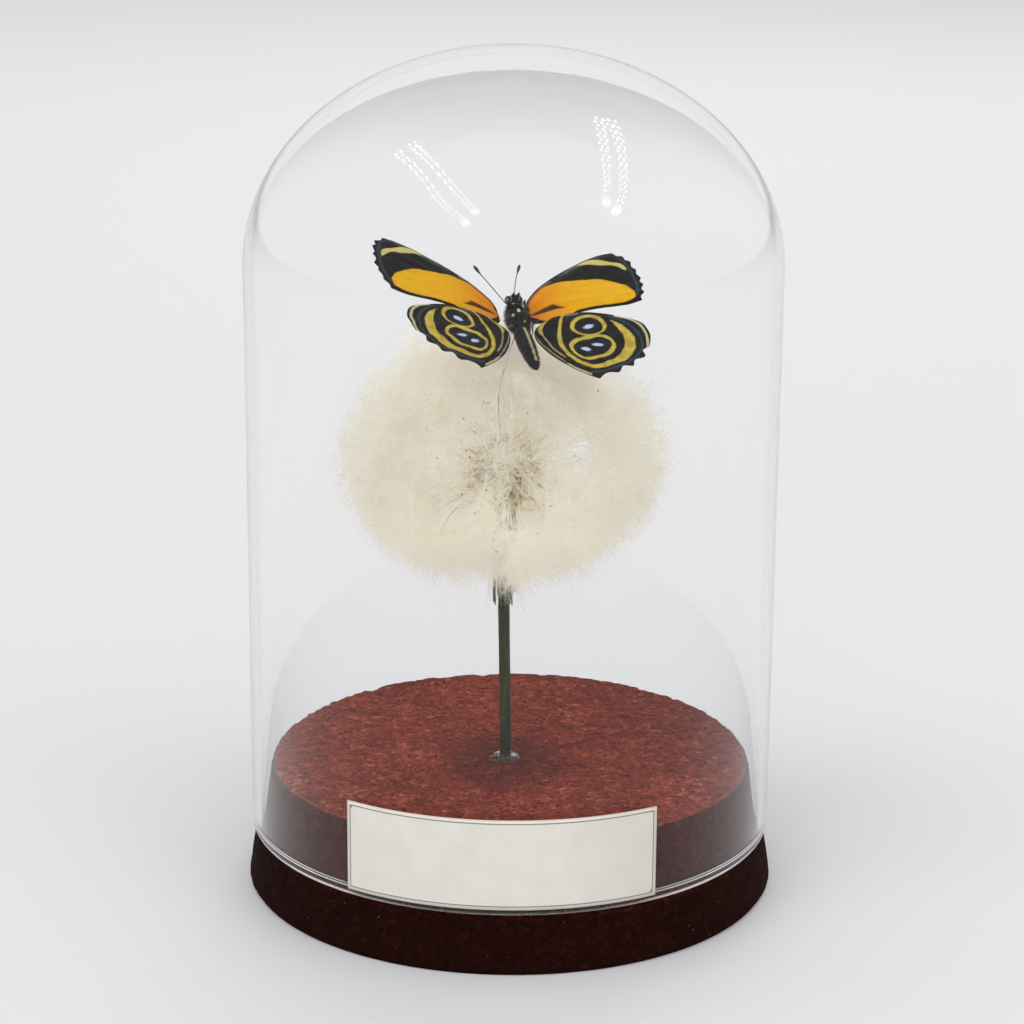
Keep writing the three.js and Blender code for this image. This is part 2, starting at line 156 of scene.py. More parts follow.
def line_distance(points, line, half_width):
    """Signed distance to a drawn line, negative within half its width."""
    far, _ = to_segments(points, spline(line, 6 * len(line)), False)
    return far - half_width


def oval_distance(points, centre, semi, turn=0.0):
    c, s = math.cos(math.radians(turn)), math.sin(math.radians(turn))
    d = points - np.array(centre)
    x = (d[:, 0] * c + d[:, 1] * s) / semi[0]
    y = (d[:, 1] * c - d[:, 0] * s) / semi[1]
    return (np.hypot(x, y) - 1) * min(semi)


# ---- meshes

def mesh_from(name, vertices, faces):
    """A mesh from an array of points in millimetres and an array or list of faces."""
    mesh = bpy.data.meshes.new(name)
    vertices = np.asarray(vertices, float) * MM
    if isinstance(faces, np.ndarray):
        mesh.vertices.add(len(vertices))
        mesh.vertices.foreach_set("co", vertices.ravel())
        count, sides = faces.shape
        mesh.loops.add(count * sides)
        mesh.loops.foreach_set("vertex_index", faces.ravel().astype(np.int32))
        mesh.polygons.add(count)
        mesh.polygons.foreach_set("loop_start", np.arange(0, count * sides, sides, dtype=np.int32))
        mesh.update(calc_edges=True)
    else:
        mesh.from_pydata(vertices.tolist(), [], faces)
    smooth(mesh)
    return mesh


def smooth(mesh):
    mesh.polygons.foreach_set("use_smooth", np.ones(len(mesh.polygons), bool))


def add_object(name, data):
    made = bpy.data.objects.new(name, data)
    bpy.context.scene.collection.objects.link(made)
    return made


def place(name, mesh, materials, slot, *nodes):
    """Puts a piece in the scene, on the frame's one body, in place of the CAD nodes named."""
    piece = add_object(name, mesh)
    for material in materials:
        mesh.materials.append(material)
    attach(piece, "root")
    if nodes:
        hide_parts(*nodes)
    return piece


def build(name, shape, look, slot, *nodes, **fields):
    """A piece of one material, from its points and faces and the numbers that each point carries."""
    mesh = mesh_from(name, *shape)
    add_floats(mesh, **fields)
    return place(name, mesh, [look.material], slot, *nodes)


def add_floats(mesh, **fields):
    for name, values in fields.items():
        mesh.attributes.new(name, "FLOAT", "POINT").data.foreach_set("value", np.asarray(values, np.float32))


def revolve(profile, segments):
    """Revolves [radius, height] pairs about Z; a radius of zero makes one point."""
    turn = np.linspace(0, 2 * math.pi, segments, endpoint=False)
    vertices, rows = [], []
    for radius, height in profile:
        start = len(vertices)
        if radius < 1e-6:
            vertices.append((0, 0, height))
            rows.append([start] * segments)
        else:
            vertices += [(radius * math.cos(t), radius * math.sin(t), height) for t in turn]
            rows.append(list(range(start, start + segments)))
    faces = []
    for low, high in zip(rows, rows[1:]):
        for i in range(segments):
            j = (i + 1) % segments
            ring = [low[i], low[j], high[j], high[i]]
            faces.append([v for k, v in enumerate(ring) if v != ring[k - 1]])
    return np.array(vertices), faces


def tube(path, radii, sides):
    """A capped tube along a path, with its own radius at each point."""
    path = np.asarray(path, float)
    radii = np.broadcast_to(np.asarray(radii, float), len(path))
    along = np.gradient(path, axis=0)
    along /= np.linalg.norm(along, axis=1)[:, None]
    side = np.cross(along[0], (0.3, 0.2, 0.93))
    if np.linalg.norm(side) < 0.2:
        side = np.cross(along[0], (1.0, 0.0, 0.0))
    vertices = []
    for centre, ahead, radius in zip(path, along, radii):
        side = side - ahead * (side @ ahead)
        side /= np.linalg.norm(side)
        other = np.cross(ahead, side)
        for k in range(sides):
            t = 2 * math.pi * k / sides
            vertices.append(centre + radius * (math.cos(t) * side + math.sin(t) * other))
    faces = []
    for row in range(len(path) - 1):
        for k in range(sides):
            a, b = row * sides + k, row * sides + (k + 1) % sides
            faces.append([a, b, b + sides, a + sides])
    faces.append(list(range(sides))[::-1])
    last = (len(path) - 1) * sides
    faces.append(list(range(last, last + sides)))
    return np.array(vertices), faces


def ball(centre, semi, columns, rows):
    angle = np.linspace(0, math.pi, rows + 1)
    profile = [(math.sin(a) if 0 < i < rows else 0.0, -math.cos(a)) for i, a in enumerate(angle)]
    vertices, faces = revolve(profile, columns)
    return vertices * np.array(semi) + np.array(centre), faces


def join(parts):
    vertices, faces, start = [], [], 0
    for points, polygons in parts:
        vertices.append(points)
        faces += [[v + start for v in face] for face in polygons]
        start += len(points)
    return np.vstack(vertices), faces


def ribbons(paths, widths, facing):
    """Flat hairs: paths is hairs x points x 3, widths is per point, facing is the way each is wide."""
    hairs, steps, _ = paths.shape
    half = 0.5 * np.broadcast_to(widths, (hairs, steps))[:, :, None] * facing[:, None, :]
    vertices = np.stack([paths - half, paths + half], axis=2).reshape(-1, 3)
    first = (np.arange(hairs)[:, None] * steps + np.arange(steps - 1)) * 2
    faces = np.stack([first, first + 1, first + 3, first + 2], axis=2).reshape(-1, 4)
    return vertices, faces


def unit(v):
    return v / np.maximum(np.linalg.norm(v, axis=-1, keepdims=True), 1e-9)


def across(directions):
    """A random unit vector square to each direction."""
    return unit(np.cross(directions, rng.normal(size=directions.shape)))


# ---- materials

class Nodes:
    """A short way to write a node material."""

    def __init__(self, name):
        self.material = bpy.data.materials.new(name)
        self.material.use_nodes = True
        self.tree = self.material.node_tree
        self.shader = self.tree.nodes["Principled BSDF"]
        self.output = self.tree.nodes["Material Output"]

    def node(self, kind, inputs=None, **settings):
        made = self.tree.nodes.new(kind)
        for key, value in settings.items():
            setattr(made, key, value)
        for key, value in (inputs or {}).items():
            self.put(made.inputs[key], value)
        return made

    def put(self, socket, value):
        if isinstance(value, bpy.types.NodeSocket):
            self.tree.links.new(value, socket)
        else:
            socket.default_value = value

    def set(self, **inputs):
        for key, value in inputs.items():
            self.put(self.shader.inputs[key.replace("_", " ")], value)

    def where(self):
        return self.node("ShaderNodeTexCoord").outputs["Object"]

    def axis(self, name):
        return self.node("ShaderNodeSeparateXYZ", {"Vector": self.where()}).outputs[name]

    def field(self, name):
        return self.node("ShaderNodeAttribute", attribute_name=name).outputs["Fac"]

    def math(self, operation, a, b=0.0, c=0.0):
        return self.node("ShaderNodeMath", {0: a, 1: b, 2: c}, operation=operation).outputs[0]

    def times(self, a, b):
        return self.math("MULTIPLY", a, b)

    def noise(self, size, detail=3.0, rough=0.55, stretch=None):
        """Noise whose lumps are size millimetres across."""
        at = self.where()
        if stretch:
            at = self.node("ShaderNodeMapping", {"Vector": at, "Scale": stretch}).outputs[0]
        scale = 1 / (size * MM)
        inputs = {"Vector": at, "Scale": scale, "Detail": detail, "Roughness": rough}
        return self.node("ShaderNodeTexNoise", inputs).outputs["Fac"]

    def ramp(self, value, stops):
        """stops is a list of (position, linear colour)."""
        made = self.node("ShaderNodeValToRGB", {"Fac": value})
        elements = made.color_ramp.elements
        while len(elements) < len(stops):
            elements.new(0.5)
        for element, (position, colour) in zip(elements, stops):
            element.position = position
            element.color = (*colour, 1)
        return made.outputs["Color"]

    def mix(self, factor, a, b):
        made = self.node("ShaderNodeMix", data_type="RGBA", blend_type="MIX")
        self.put(made.inputs["Factor"], factor)
        for socket, value in ((made.inputs[6], a), (made.inputs[7], b)):
            self.put(socket, value if isinstance(value, bpy.types.NodeSocket) else (*value, 1))
        return made.outputs[2]

    def tint(self, colour, paint, mask, opacity=1.0):
        """Lays a paint over a colour where the mask is 1."""
        return self.mix(self.times(mask, opacity) if opacity < 1 else mask, colour, paint)

    def step(self, value, low, high):
        """1 below low, 0 above high, smooth between."""
        inputs = {"Value": value, "From Min": low, "From Max": high, "To Min": 1.0, "To Max": 0.0}
        return self.node("ShaderNodeMapRange", inputs, interpolation_type="SMOOTHSTEP").outputs["Result"]

    def bump(self, height, strength, distance):
        inputs = {"Height": height, "Strength": strength, "Distance": distance * MM}
        self.set(Normal=self.node("ShaderNodeBump", inputs).outputs[0])


def rgb(r, g, b):
    """An sRGB colour of 0 to 255 as linear values."""
    return tuple((c / 255 / 12.92) if c <= 10 else ((c / 255 + 0.055) / 1.055) ** 2.4 for c in (r, g, b))


# ---- camera, floor and light

def spin(angle, axis):
    return Matrix.Rotation(angle, 4, axis)


def camera_and_world():
    scene = bpy.context.scene
    scene.view_settings.view_transform = "Standard"
    camera = add_object("camera", bpy.data.cameras.new("camera"))
    scene.camera = camera
    camera.data.lens = CAMERA_LENS
    camera.data.sensor_width = CAMERA_SENSOR
    aim = spin(math.pi / 2 - CAMERA_PITCH, "X") @ spin(CAMERA_ROLL, "Z")
    camera.matrix_world = Matrix.Translation(CAMERA_AT) @ aim

    world = bpy.data.worlds.new("world")
    scene.world = world
    world.use_nodes = True
    background = world.node_tree.nodes["Background"].inputs
    background["Color"].default_value = (1, 1, 1, 1)
    background["Strength"].default_value = WORLD_STRENGTH


def floor_and_softboxes():
    corners = [(-6e3, -4e3, 0), (6e3, -4e3, 0), (6e3, 8e3, 0), (-6e3, 8e3, 0)]
    floor = add_object("floor", mesh_from("floor", corners, [[0, 1, 2, 3]]))
    card = Nodes("floor_card")
    card.set(Base_Color=FLOOR_TONE, Roughness=0.9, Specular_IOR_Level=0.0)
    floor.data.materials.append(card.material)

    for name, at, target, size, power in SOFTBOXES:
        softbox = add_object(name, bpy.data.lights.new(name, "AREA"))
        softbox.data.energy = power
        softbox.data.size = size
        softbox.location = at
        softbox.rotation_euler = (Vector(target) - Vector(at)).to_track_quat("-Z", "Y").to_euler()
        softbox.visible_glossy = False
        softbox.visible_transmission = False


def lamp_strips():
    """Strips of glowing dots that show in the glass and throw no light on matt surfaces."""
    glow = Nodes("lamp_dots")
    dots = glow.times(glow.field("rows"), glow.field("spots"))
    light = glow.math("MULTIPLY_ADD", glow.step(dots, 0.92, 0.74), LAMP_GLOW, 0.06 * LAMP_GLOW)
    glow.set(Base_Color=(0, 0, 0, 1), Emission_Color=(1, 1, 1, 1), Emission_Strength=light)
    glow.material.cycles.emission_sampling = "NONE"

    along, over = np.linspace(0, 1, LAMP_STEPS), np.linspace(0, 1, LAMP_COLUMNS)
    u, v = np.meshgrid(along, over, indexing="ij")
    spots = np.where(u > LAMP_EVEN_FROM, 0.9, np.abs(np.sin(u * math.pi * LAMP_DOTS)))
    rows = np.where(u > LAMP_EVEN_FROM, 0.9, np.abs(np.sin(v * math.pi * LAMP_ROWS)))
    cell = np.arange(LAMP_STEPS - 1)[:, None] * LAMP_COLUMNS + np.arange(LAMP_COLUMNS - 1)
    beyond = cell + LAMP_COLUMNS
    quads = np.stack([cell, cell + 1, beyond + 1, beyond], axis=2).reshape(-1, 4)
    offsets = np.linspace(-LAMP_HALF_WIDTH, LAMP_HALF_WIDTH, LAMP_COLUMNS)
    for k, strip in enumerate(LAMP_STRIPS):
        path = spline(strip, LAMP_STEPS) / MM
        side = unit(np.cross(np.gradient(path, axis=0), path - (0, 0, 140)))
        points = path[:, None] + side[:, None] * offsets[None, :, None]
        mesh = mesh_from(f"lamp_strip_{k}", points.reshape(-1, 3), quads)
        add_floats(mesh, spots=spots.ravel(), rows=rows.ravel())
        mesh.materials.append(glow.material)
        panel = add_object(f"lamp_strip_{k}", mesh)
        panel.visible_diffuse = False


# ---- glass dome

def glass_dome():
    """A bell with a rounded rim, slightly uneven; pale highlight lines are painted on the rim, strong at the
    sides and faint in the middle.
    """
    steps = 40
    angles = np.linspace(0, math.pi / 2, steps + 1)
    inner_radius = GLASS_RADIUS - GLASS_WALL
    rise = TOTAL_HEIGHT - SHOULDER_HEIGHT

    def shoulder(radius, height):
        return [(radius * math.sin(a), SHOULDER_HEIGHT + height * math.cos(a)) for a in angles]

    wall_heights = np.linspace(SHOULDER_HEIGHT, RIM_HEIGHT + 3, 12)[1:]
    outer = shoulder(GLASS_RADIUS, rise) + [(GLASS_RADIUS, z) for z in wall_heights]
    inner = shoulder(inner_radius, rise - GLASS_WALL) + [(inner_radius, z) for z in wall_heights]
    half = GLASS_WALL / 2
    rim = []
    for a in np.linspace(0, math.pi, 11):
        rim.append((GLASS_RADIUS - half + half * math.cos(a), RIM_HEIGHT + half - half * math.sin(a)))
    outer[0] = (0.0, TOTAL_HEIGHT)
    inner[0] = (0.0, TOTAL_HEIGHT - GLASS_WALL)
    vertices, faces = revolve((outer + rim + inner[::-1])[::-1], 160)
    wander = 1 + 0.0006 * grain(vertices, 34.0, 1)
    vertices = vertices * np.column_stack([wander, wander, np.ones(len(vertices))])
    look = Nodes("clear_glass")
    highlight_lines = []
    for height, half_width, strength in RIM_HIGHLIGHT_LINES:
        away = look.math("ABSOLUTE", look.math("SUBTRACT", look.axis("Z"), height * MM))
        line = look.step(away, 0.3 * half_width * MM, half_width * MM)
        highlight_lines.append(look.times(line, strength))
    # Painted highlight: the rim lines fade to a fifth where X is near zero and keep full strength at the
    # sides.
    sides = look.step(look.math("ABSOLUTE", look.axis("X")), 0.012, 0.042)
    fade = look.math("MULTIPLY_ADD", sides, -0.8, 1.0)
    painted_highlight = look.times(look.math("MAXIMUM", *highlight_lines), fade)
    look.set(Base_Color=(0.985, 0.99, 0.99, 1), IOR=1.46, Specular_Tint=(0.38, 0.38, 0.38, 1))
    look.set(Roughness=look.times(painted_highlight, 0.5))
    look.set(Transmission_Weight=look.math("SUBTRACT", 1.0, painted_highlight))
    look.bump(look.noise(24.0, 4.0), 0.03, 0.4)
    dome = build("dome_glass", (vertices, faces), look, "glass", "glass_dome")
    dome.visible_shadow = False


# ---- cork base

def cork_shape():
    """A plug with a wider foot, pitted and crumbled at its upper edge; returns its fields as well."""
    corners = [
        (0.0, CORK_HEIGHT),
        (PLUG_RADIUS - 2.3, CORK_HEIGHT),
        (PLUG_RADIUS - 1.85, CORK_HEIGHT - 0.7),
        (PLUG_RADIUS, RIM_HEIGHT - 0.3),
        (CORK_RADIUS - 1.5, RIM_HEIGHT - 1.0),
        (CORK_RADIUS, 0.8),
        (CORK_RADIUS - 0.6, 0.0),
        (0.0, 0.0),
    ]
    spacing = [0.6, 0.2, 0.45, 0.4, 0.45, 0.3, 8.0]
    profile = [corners[0]]
    for (r0, z0), (r1, z1), gap in zip(corners, corners[1:], spacing):
        count = max(1, round(math.hypot(r1 - r0, z1 - z0) / gap))
        profile += [(r0 + (r1 - r0) * k / count, z0 + (z1 - z0) * k / count) for k in range(1, count + 1)]
    vertices, faces = revolve(profile[::-1], 480)
    radius = np.hypot(vertices[:, 0], vertices[:, 1])
    up = np.clip((vertices[:, 2] - CORK_HEIGHT + 0.4) / 0.3, 0, 1)
    out = np.where(vertices[:, 2] > 0.2, 1 - up, 0)
    pits = np.clip(grain(vertices, 2.6, 4) - 0.45, 0, 1)
    pits = pits + 0.8 * np.clip(grain(vertices, 1.1, 5) - 0.4, 0, 1)
    depth = 0.06 * grain(vertices, 2.0, 2) + 0.07 * grain(vertices, 0.9, 3) - 0.5 * pits
    edge = np.clip(1 - np.abs(radius - PLUG_RADIUS + 2.0) / 1.1, 0, 1)
    edge = edge * np.clip((vertices[:, 2] - 22) / 1.5, 0, 1)
    loss = 0.7 * grain(vertices, 0.9, 6) + 0.5 * grain(vertices, 2.4, 7) + 0.05
    crumble = np.clip(loss, 0, 1) * edge * 0.8
    outward = vertices * np.array([1, 1, 0]) / np.maximum(radius, 1e-6)[:, None]
    vertices = vertices + outward * (out * (np.minimum(depth, 0.06) - 0.06) - crumble)[:, None]
    vertices[:, 2] += up * (np.minimum(depth, 0.1) - 0.06) - 0.5 * crumble
    foot = np.hypot(vertices[:, 0] - STEM_FOOT[0], vertices[:, 1] - STEM_FOOT[1])
    foot = np.where(up > 0, foot + 3.5 * grain(vertices, 6.0, 8), 60)
    return vertices, faces, {"foot": foot, "side": 1 - up, "chips": crumble}


def cork_base():
    """Stained granules of two sizes with dark seams and holes, darker round the stem; the sides behind the
    glass and the foot below the rim are painted darker as shade.
    """
    vertices, faces, fields = cork_shape()
    look = Nodes("stained_cork")
    at = look.where()
    warp = look.node("ShaderNodeTexNoise", {"Vector": at, "Scale": 420.0, "Detail": 3.0}).outputs["Color"]
    bend = {0: warp, 1: (0.0012, 0.0014, 0.001)}
    bent = look.node("ShaderNodeVectorMath", bend, operation="MULTIPLY").outputs[0]
    moved = look.node("ShaderNodeVectorMath", {0: at, 1: bent}, operation="ADD").outputs[0]
    large, small = {"Vector": moved, "Scale": 640.0}, {"Vector": moved, "Scale": 1500.0}
    tones = []
    for inputs in (large, small):
        cells = look.node("ShaderNodeTexVoronoi", inputs).outputs["Color"]
        tones.append(look.node("ShaderNodeSeparateColor", {"Color": cells}).outputs[0])
    seam = look.node("ShaderNodeTexVoronoi", large, feature="DISTANCE_TO_EDGE").outputs[0]
    fine = look.noise(0.55, 4.0, 0.7)
    mixed = look.math("MULTIPLY_ADD", tones[1], 0.3, look.times(tones[0], 0.3))
    mixed = look.math("MULTIPLY_ADD", fine, 0.4, mixed)
    stops = [
        (0.22, rgb(84, 32, 24)),
        (0.36, rgb(118, 48, 35)),
        (0.52, rgb(136, 58, 42)),
        (0.68, rgb(150, 68, 50)),
        (0.8, rgb(186, 108, 88)),
    ]
    layers = [
        (rgb(86, 36, 28), look.step(look.noise(18.0, 3.0), 0.44, 0.6), 0.3),
        (rgb(52, 24, 26), look.step(look.field("foot"), 7.0, 19.0), 0.52),
        (rgb(46, 20, 17), look.step(seam, 0.0, 0.07), 0.6),
        (rgb(34, 15, 13), look.step(look.noise(1.0, 3.0, 0.6), 0.35, 0.41), 0.8),
        (rgb(172, 112, 92), look.field("chips"), 0.8),
    ]
    colour = look.ramp(mixed, stops)
    for paint, mask, opacity in layers:
        colour = look.tint(colour, paint, mask, opacity)
    # Painted shade: the sides (field side) are darkened, and the foot below the glass rim more, as if lit
    # only from above.
    beneath = look.step(look.axis("Z"), 0.0098, 0.0112)
    painted_shade = look.math("MULTIPLY_ADD", beneath, 0.2, look.times(look.field("side"), 0.76))
    colour = look.mix(painted_shade, colour, rgb(12, 3, 2))
    colour = look.tint(colour, rgb(150, 104, 86), look.step(look.noise(0.8, 2.0), 0.24, 0.27), 0.5)
    look.set(Base_Color=colour, Roughness=0.9, Specular_IOR_Level=0.05)
    look.bump(look.math("MULTIPLY_ADD", seam, 1.2, fine), 0.6, 0.4)
    build("cork_plug", (vertices, faces), look, "cork", "cork_base", **fields)


# ---- label

def paper_label():
    """A blank sticker bent round the glass, with a thin line along its border."""
    arc, height = 2 * LABEL_HALF_ANGLE, LABEL_HIGH - LABEL_LOW
    columns, rows = 96, 24
    grid, from_edge = [], []
    for radius in (LABEL_OUTER, LABEL_INNER):
        for row in range(rows + 1):
            for column in range(columns + 1):
                a = -math.pi / 2 + LABEL_TURN - LABEL_HALF_ANGLE + arc * column / columns
                grid.append((radius * math.cos(a), radius * math.sin(a), LABEL_LOW + height * row / rows))
                aside = 0.5 - abs(column / columns - 0.5)
                above = 0.5 - abs(row / rows - 0.5)
                from_edge.append(min(arc * LABEL_OUTER * aside, height * above))
    faces = []
    layer = (columns + 1) * (rows + 1)
    for row in range(rows):
        for column in range(columns):
            a = row * (columns + 1) + column
            faces.append([a, a + 1, a + columns + 2, a + columns + 1])
            b = a + layer
            faces.append([b, b + columns + 1, b + columns + 2, b + 1])
    rim = list(range(columns))
    rim += [columns + r * (columns + 1) for r in range(rows)]
    rim += [rows * (columns + 1) + columns - c for c in range(columns)]
    rim += [(rows - r) * (columns + 1) for r in range(rows)]
    for a, b in zip(rim, rim[1:] + rim[:1]):
        faces.append([a, a + layer, b + layer, b])
    look = Nodes("cream_paper")
    edge = look.field("from_edge")
    off_line = look.math("ABSOLUTE", look.math("SUBTRACT", edge, 0.66))
    colour = look.ramp(look.noise(5.0, 5.0), [(0.3, rgb(199, 196, 187)), (0.7, rgb(206, 203, 195))])
    colour = look.tint(colour, rgb(84, 78, 70), look.step(off_line, 0.05, 0.17), 0.8)
    colour = look.tint(colour, rgb(176, 170, 152), look.step(edge, 0.0, 0.3), 0.35)
    # Painted shade: the right end of the label is darkened a little.
    colour = look.tint(colour, rgb(120, 118, 112), look.step(look.axis("X"), 0.026, 0.006), 0.14)
    look.set(Base_Color=colour, Roughness=0.7, Specular_IOR_Level=0.25)
    look.bump(look.noise(0.35, 3.0), 0.12, 0.1)
    build("label_paper", (grid, faces), look, "paper", "label", from_edge=from_edge)


# ---- stem, glue, bracts, receptacle

def flower_stem():
    """A ribbed dark stalk, from the cork up to the seed bed."""
    foot, top = [(*STEM_FOOT, 17.5), (*STEM_FOOT, 27.2)], [(-1.5, 0, 64), (-1.5, 0, 76.5)]
    path = spline(foot + [(-1.2, -2.3, 40), (-1.45, -0.2, 53)] + top, 120)
    sides = 40
    vertices, faces = tube(path, 1.0, sides)
    centre = np.repeat(path, sides, axis=0)
    out = vertices - centre
    turn = np.tile(np.arange(sides) * 2 * math.pi / sides, len(path))
    ribs = 0.035 * np.cos(9 * turn + 0.02 * centre[:, 2]) + 0.02 * np.cos(4 * turn + 0.06 * centre[:, 2])
    girth = 1.08 + ribs + 0.03 * grain(vertices * (1, 1, 0.25), 1.2, 7) + 0.02 * np.sin(centre[:, 2] / 9)
    vertices = centre + out * girth[:, None]
    look = Nodes("dried_stalk")
    streaks = look.noise(0.9, 4.0, 0.6, stretch=(1, 1, 0.08))
    tone = look.ramp(streaks, [(0.25, rgb(26, 34, 16)), (0.5, rgb(42, 52, 26)), (0.75, rgb(64, 74, 40))])
    blotch = look.noise(9.0, 3.0, stretch=(1, 1, 0.5))
    aged = look.mix(look.step(blotch, 0.42, 0.56), tone, look.mix(0.55, tone, rgb(46, 48, 42)))
    look.set(Base_Color=aged, Roughness=0.55, Specular_IOR_Level=0.2)
    look.bump(streaks, 0.4, 0.12)
    build("stalk", (vertices, faces), look, "stem", "stem")


def dried_glue():
    """A clear drop with smaller ones beside it."""
    profile = [(1.0, 0.0), (2.9, 0.0), (2.75, 0.35), (2.2, 0.75), (1.6, 1.15), (1.25, 1.35), (1.0, 1.4)]
    vertices, faces = revolve(spline(profile, 26).tolist(), 72)
    radius = np.hypot(vertices[:, 0], vertices[:, 1])
    uneven = 0.16 * grain(vertices, 1.6, 8) + 0.06 * grain(vertices, 0.6, 9)
    vertices[:, :2] *= (1 + np.clip(radius - 1.3, 0, 1) * uneven)[:, None]
    vertices[:, 2] *= 1 + 0.25 * grain(vertices + 5, 1.4, 10)
    parts = [(vertices, faces)]
    for x, y, size in ((-2.1, -1.9, 0.42), (1.9, -2.0, 0.3), (2.6, -0.7, 0.26), (-0.4, -2.7, 0.34)):
        parts.append(ball((x, y, 0.1), (size, size, 0.75 * size), 16, 10))
    vertices, faces = join(parts)
    vertices = vertices + np.array([*STEM_FOOT, CORK_HEIGHT - 0.1])
    look = Nodes("dried_glue")
    haze = look.noise(0.8, 3.0)
    look.set(Base_Color=look.ramp(haze, [(0.35, rgb(206, 182, 166)), (0.7, rgb(240, 234, 224))]))
    look.set(Roughness=0.08, Transmission_Weight=0.96, IOR=1.48, Specular_Tint=(0.4, 0.4, 0.4, 1))
    look.bump(haze, 0.3, 0.15)
    build("glue_drop", (vertices, faces), look, "glue", "glue_bead")


def seed_bed():
    """A dented round bed that the plumes grow from."""
    under = [(0, -3.2), (1.6, -3.2), (2.9, -2.1), (4.0, -0.8)]
    fine = spline(under + [(4.0, 0.6), (3.12, 2.04), (1.68, 3.06), (0, 3.4)], 48)
    fine[0, 0] = fine[-1, 0] = 0.0
    vertices, faces = revolve(fine.tolist(), 72)
    dents = 0.14 * np.cos(vertices[:, 0] * 6) * np.cos(vertices[:, 1] * 6)
    vertices = vertices * (1 + (dents - 0.1) / 4)[:, None] + SEED_BED
    look = Nodes("seed_bed")
    pits = look.noise(0.8, 4.0)
    look.set(Base_Color=look.ramp(pits, [(0.3, rgb(92, 76, 44)), (0.7, rgb(184, 164, 116))]), Roughness=0.85)
    look.bump(pits, 0.8, 0.3)
    build("seed_bed", (vertices, faces), look, "seed", "receptacle")


def bract_leaves():
    """Long narrow bracts folded back down the stalk; the front right one has lost its tip."""
    parts = []
    top = np.array([*SEED_BED[:2], 75.9])
    count, steps, broken = 11, 26, 9
    for i in range(count):
        turn = 2 * math.pi * (i + 0.3 * rng.uniform(-1, 1)) / count
        out = np.array([math.cos(turn), math.sin(turn), 0])
        side = np.array([-math.sin(turn), math.cos(turn), 0])
        length = 19.5 + 2.4 * rng.uniform(-1, 1)
        for face in (0, 1):
            rows = []
            for k in range(steps + 1):
                t = k / steps
                away = 1.75 + 0.5 * math.sin(math.pi * min(1, 1.2 * t)) + 0.25 * t * rng.uniform(0.7, 1.3)
                sway = 0.5 * math.sin(2.1 * t + i) * t
                width = 0.75 if i == broken else 0.85 * min(1, 0.7 + t) * (1 - t) ** 0.55 + 0.05
                centre = top + out * (away - 0.12 * face) + side * sway + np.array([0, 0, -length * t])
                rows.append([centre - side * width, centre - out * 0.18 * (1 - face), centre + side * width])
            grid = np.array(rows).reshape(-1, 3)
            quads = []
            for k in range(steps):
                for c in (0, 1):
                    a = 3 * k + c
                    ring = [a, a + 1, a + 4, a + 3]
                    quads.append(ring if face else ring[::-1])
            parts.append((grid, quads))
    collar = [(1.5, 0.2), (2.2, -0.4), (2.45, -2.2), (2.15, -4.0), (1.5, -4.3)]
    vertices, faces = revolve(spline(collar, 20).tolist(), 40)
    parts.append((vertices + np.array([*SEED_BED[:2], 77.2]), faces))
    vertices, faces = join(parts)
    look = Nodes("dry_bracts")
    veins = look.noise(0.35, 3.0, stretch=(1, 1, 0.06))
    tone = look.ramp(veins, [(0.3, rgb(52, 58, 44)), (0.5, rgb(96, 98, 80)), (0.7, rgb(140, 138, 120))])
    look.set(Base_Color=tone, Roughness=0.8)
    look.bump(veins, 0.5, 0.1)
    build("bract_leaves", (vertices, faces), look, "bract", "bracts")


# ---- seed head

def fibre_look(name, light, dark, size, glow_low=0.0, glow_high=0.0):
    """Matt fibres that let light through.

    A faint glow, stronger low down, stands in for light that the fluff scatters many times.
    """
    look = Nodes(name)
    colour = look.ramp(look.noise(size, 2.0), [(0.3, dark), (0.7, light)])
    look.set(Base_Color=colour, Roughness=0.9, Specular_IOR_Level=0.1)
    if glow_low:
        share = look.step(look.axis("Z"), 0.056, 0.096)
        strength = look.math("MULTIPLY_ADD", share, glow_low - glow_high, glow_high)
        look.set(Emission_Color=(1, 0.98, 0.98, 1), Emission_Strength=strength)
    through = look.node("ShaderNodeBsdfTranslucent", {"Color": colour})
    both = look.node("ShaderNodeMixShader", {0: 0.5, 1: look.shader.outputs[0], 2: through.outputs[0]})
    look.put(look.output.inputs["Surface"], both.outputs[0])
    return look


def puff_reach(directions):
    """How far the seed head's surface lies from its centre in each direction."""
    half = np.where(directions[:, 2] > 0, PUFF_TOP, PUFF_BOTTOM)
    flat = np.hypot(directions[:, 0], directions[:, 1])
    return 1 / np.sqrt((flat / PUFF_RADIUS) ** 2 + (directions[:, 2] / half) ** 2)


def tangle(points, amount):
    """Bends neighbouring fibres the same way, as if they had been crushed."""
    wide = np.stack([grain(points, 8.0, s) for s in (21, 22, 23)], axis=1)
    fine = np.stack([grain(points, 2.6, s) for s in (24, 25, 26)], axis=1)
    return points + amount * (wide + 0.4 * fine)


# The front of the seed head, where its plumes are sparse and the stalks and seeds show.
FRONT = unit(np.array([0.04, -0.96, 0.2]))
PLUMES_BEFORE_STALK_GAP = 360


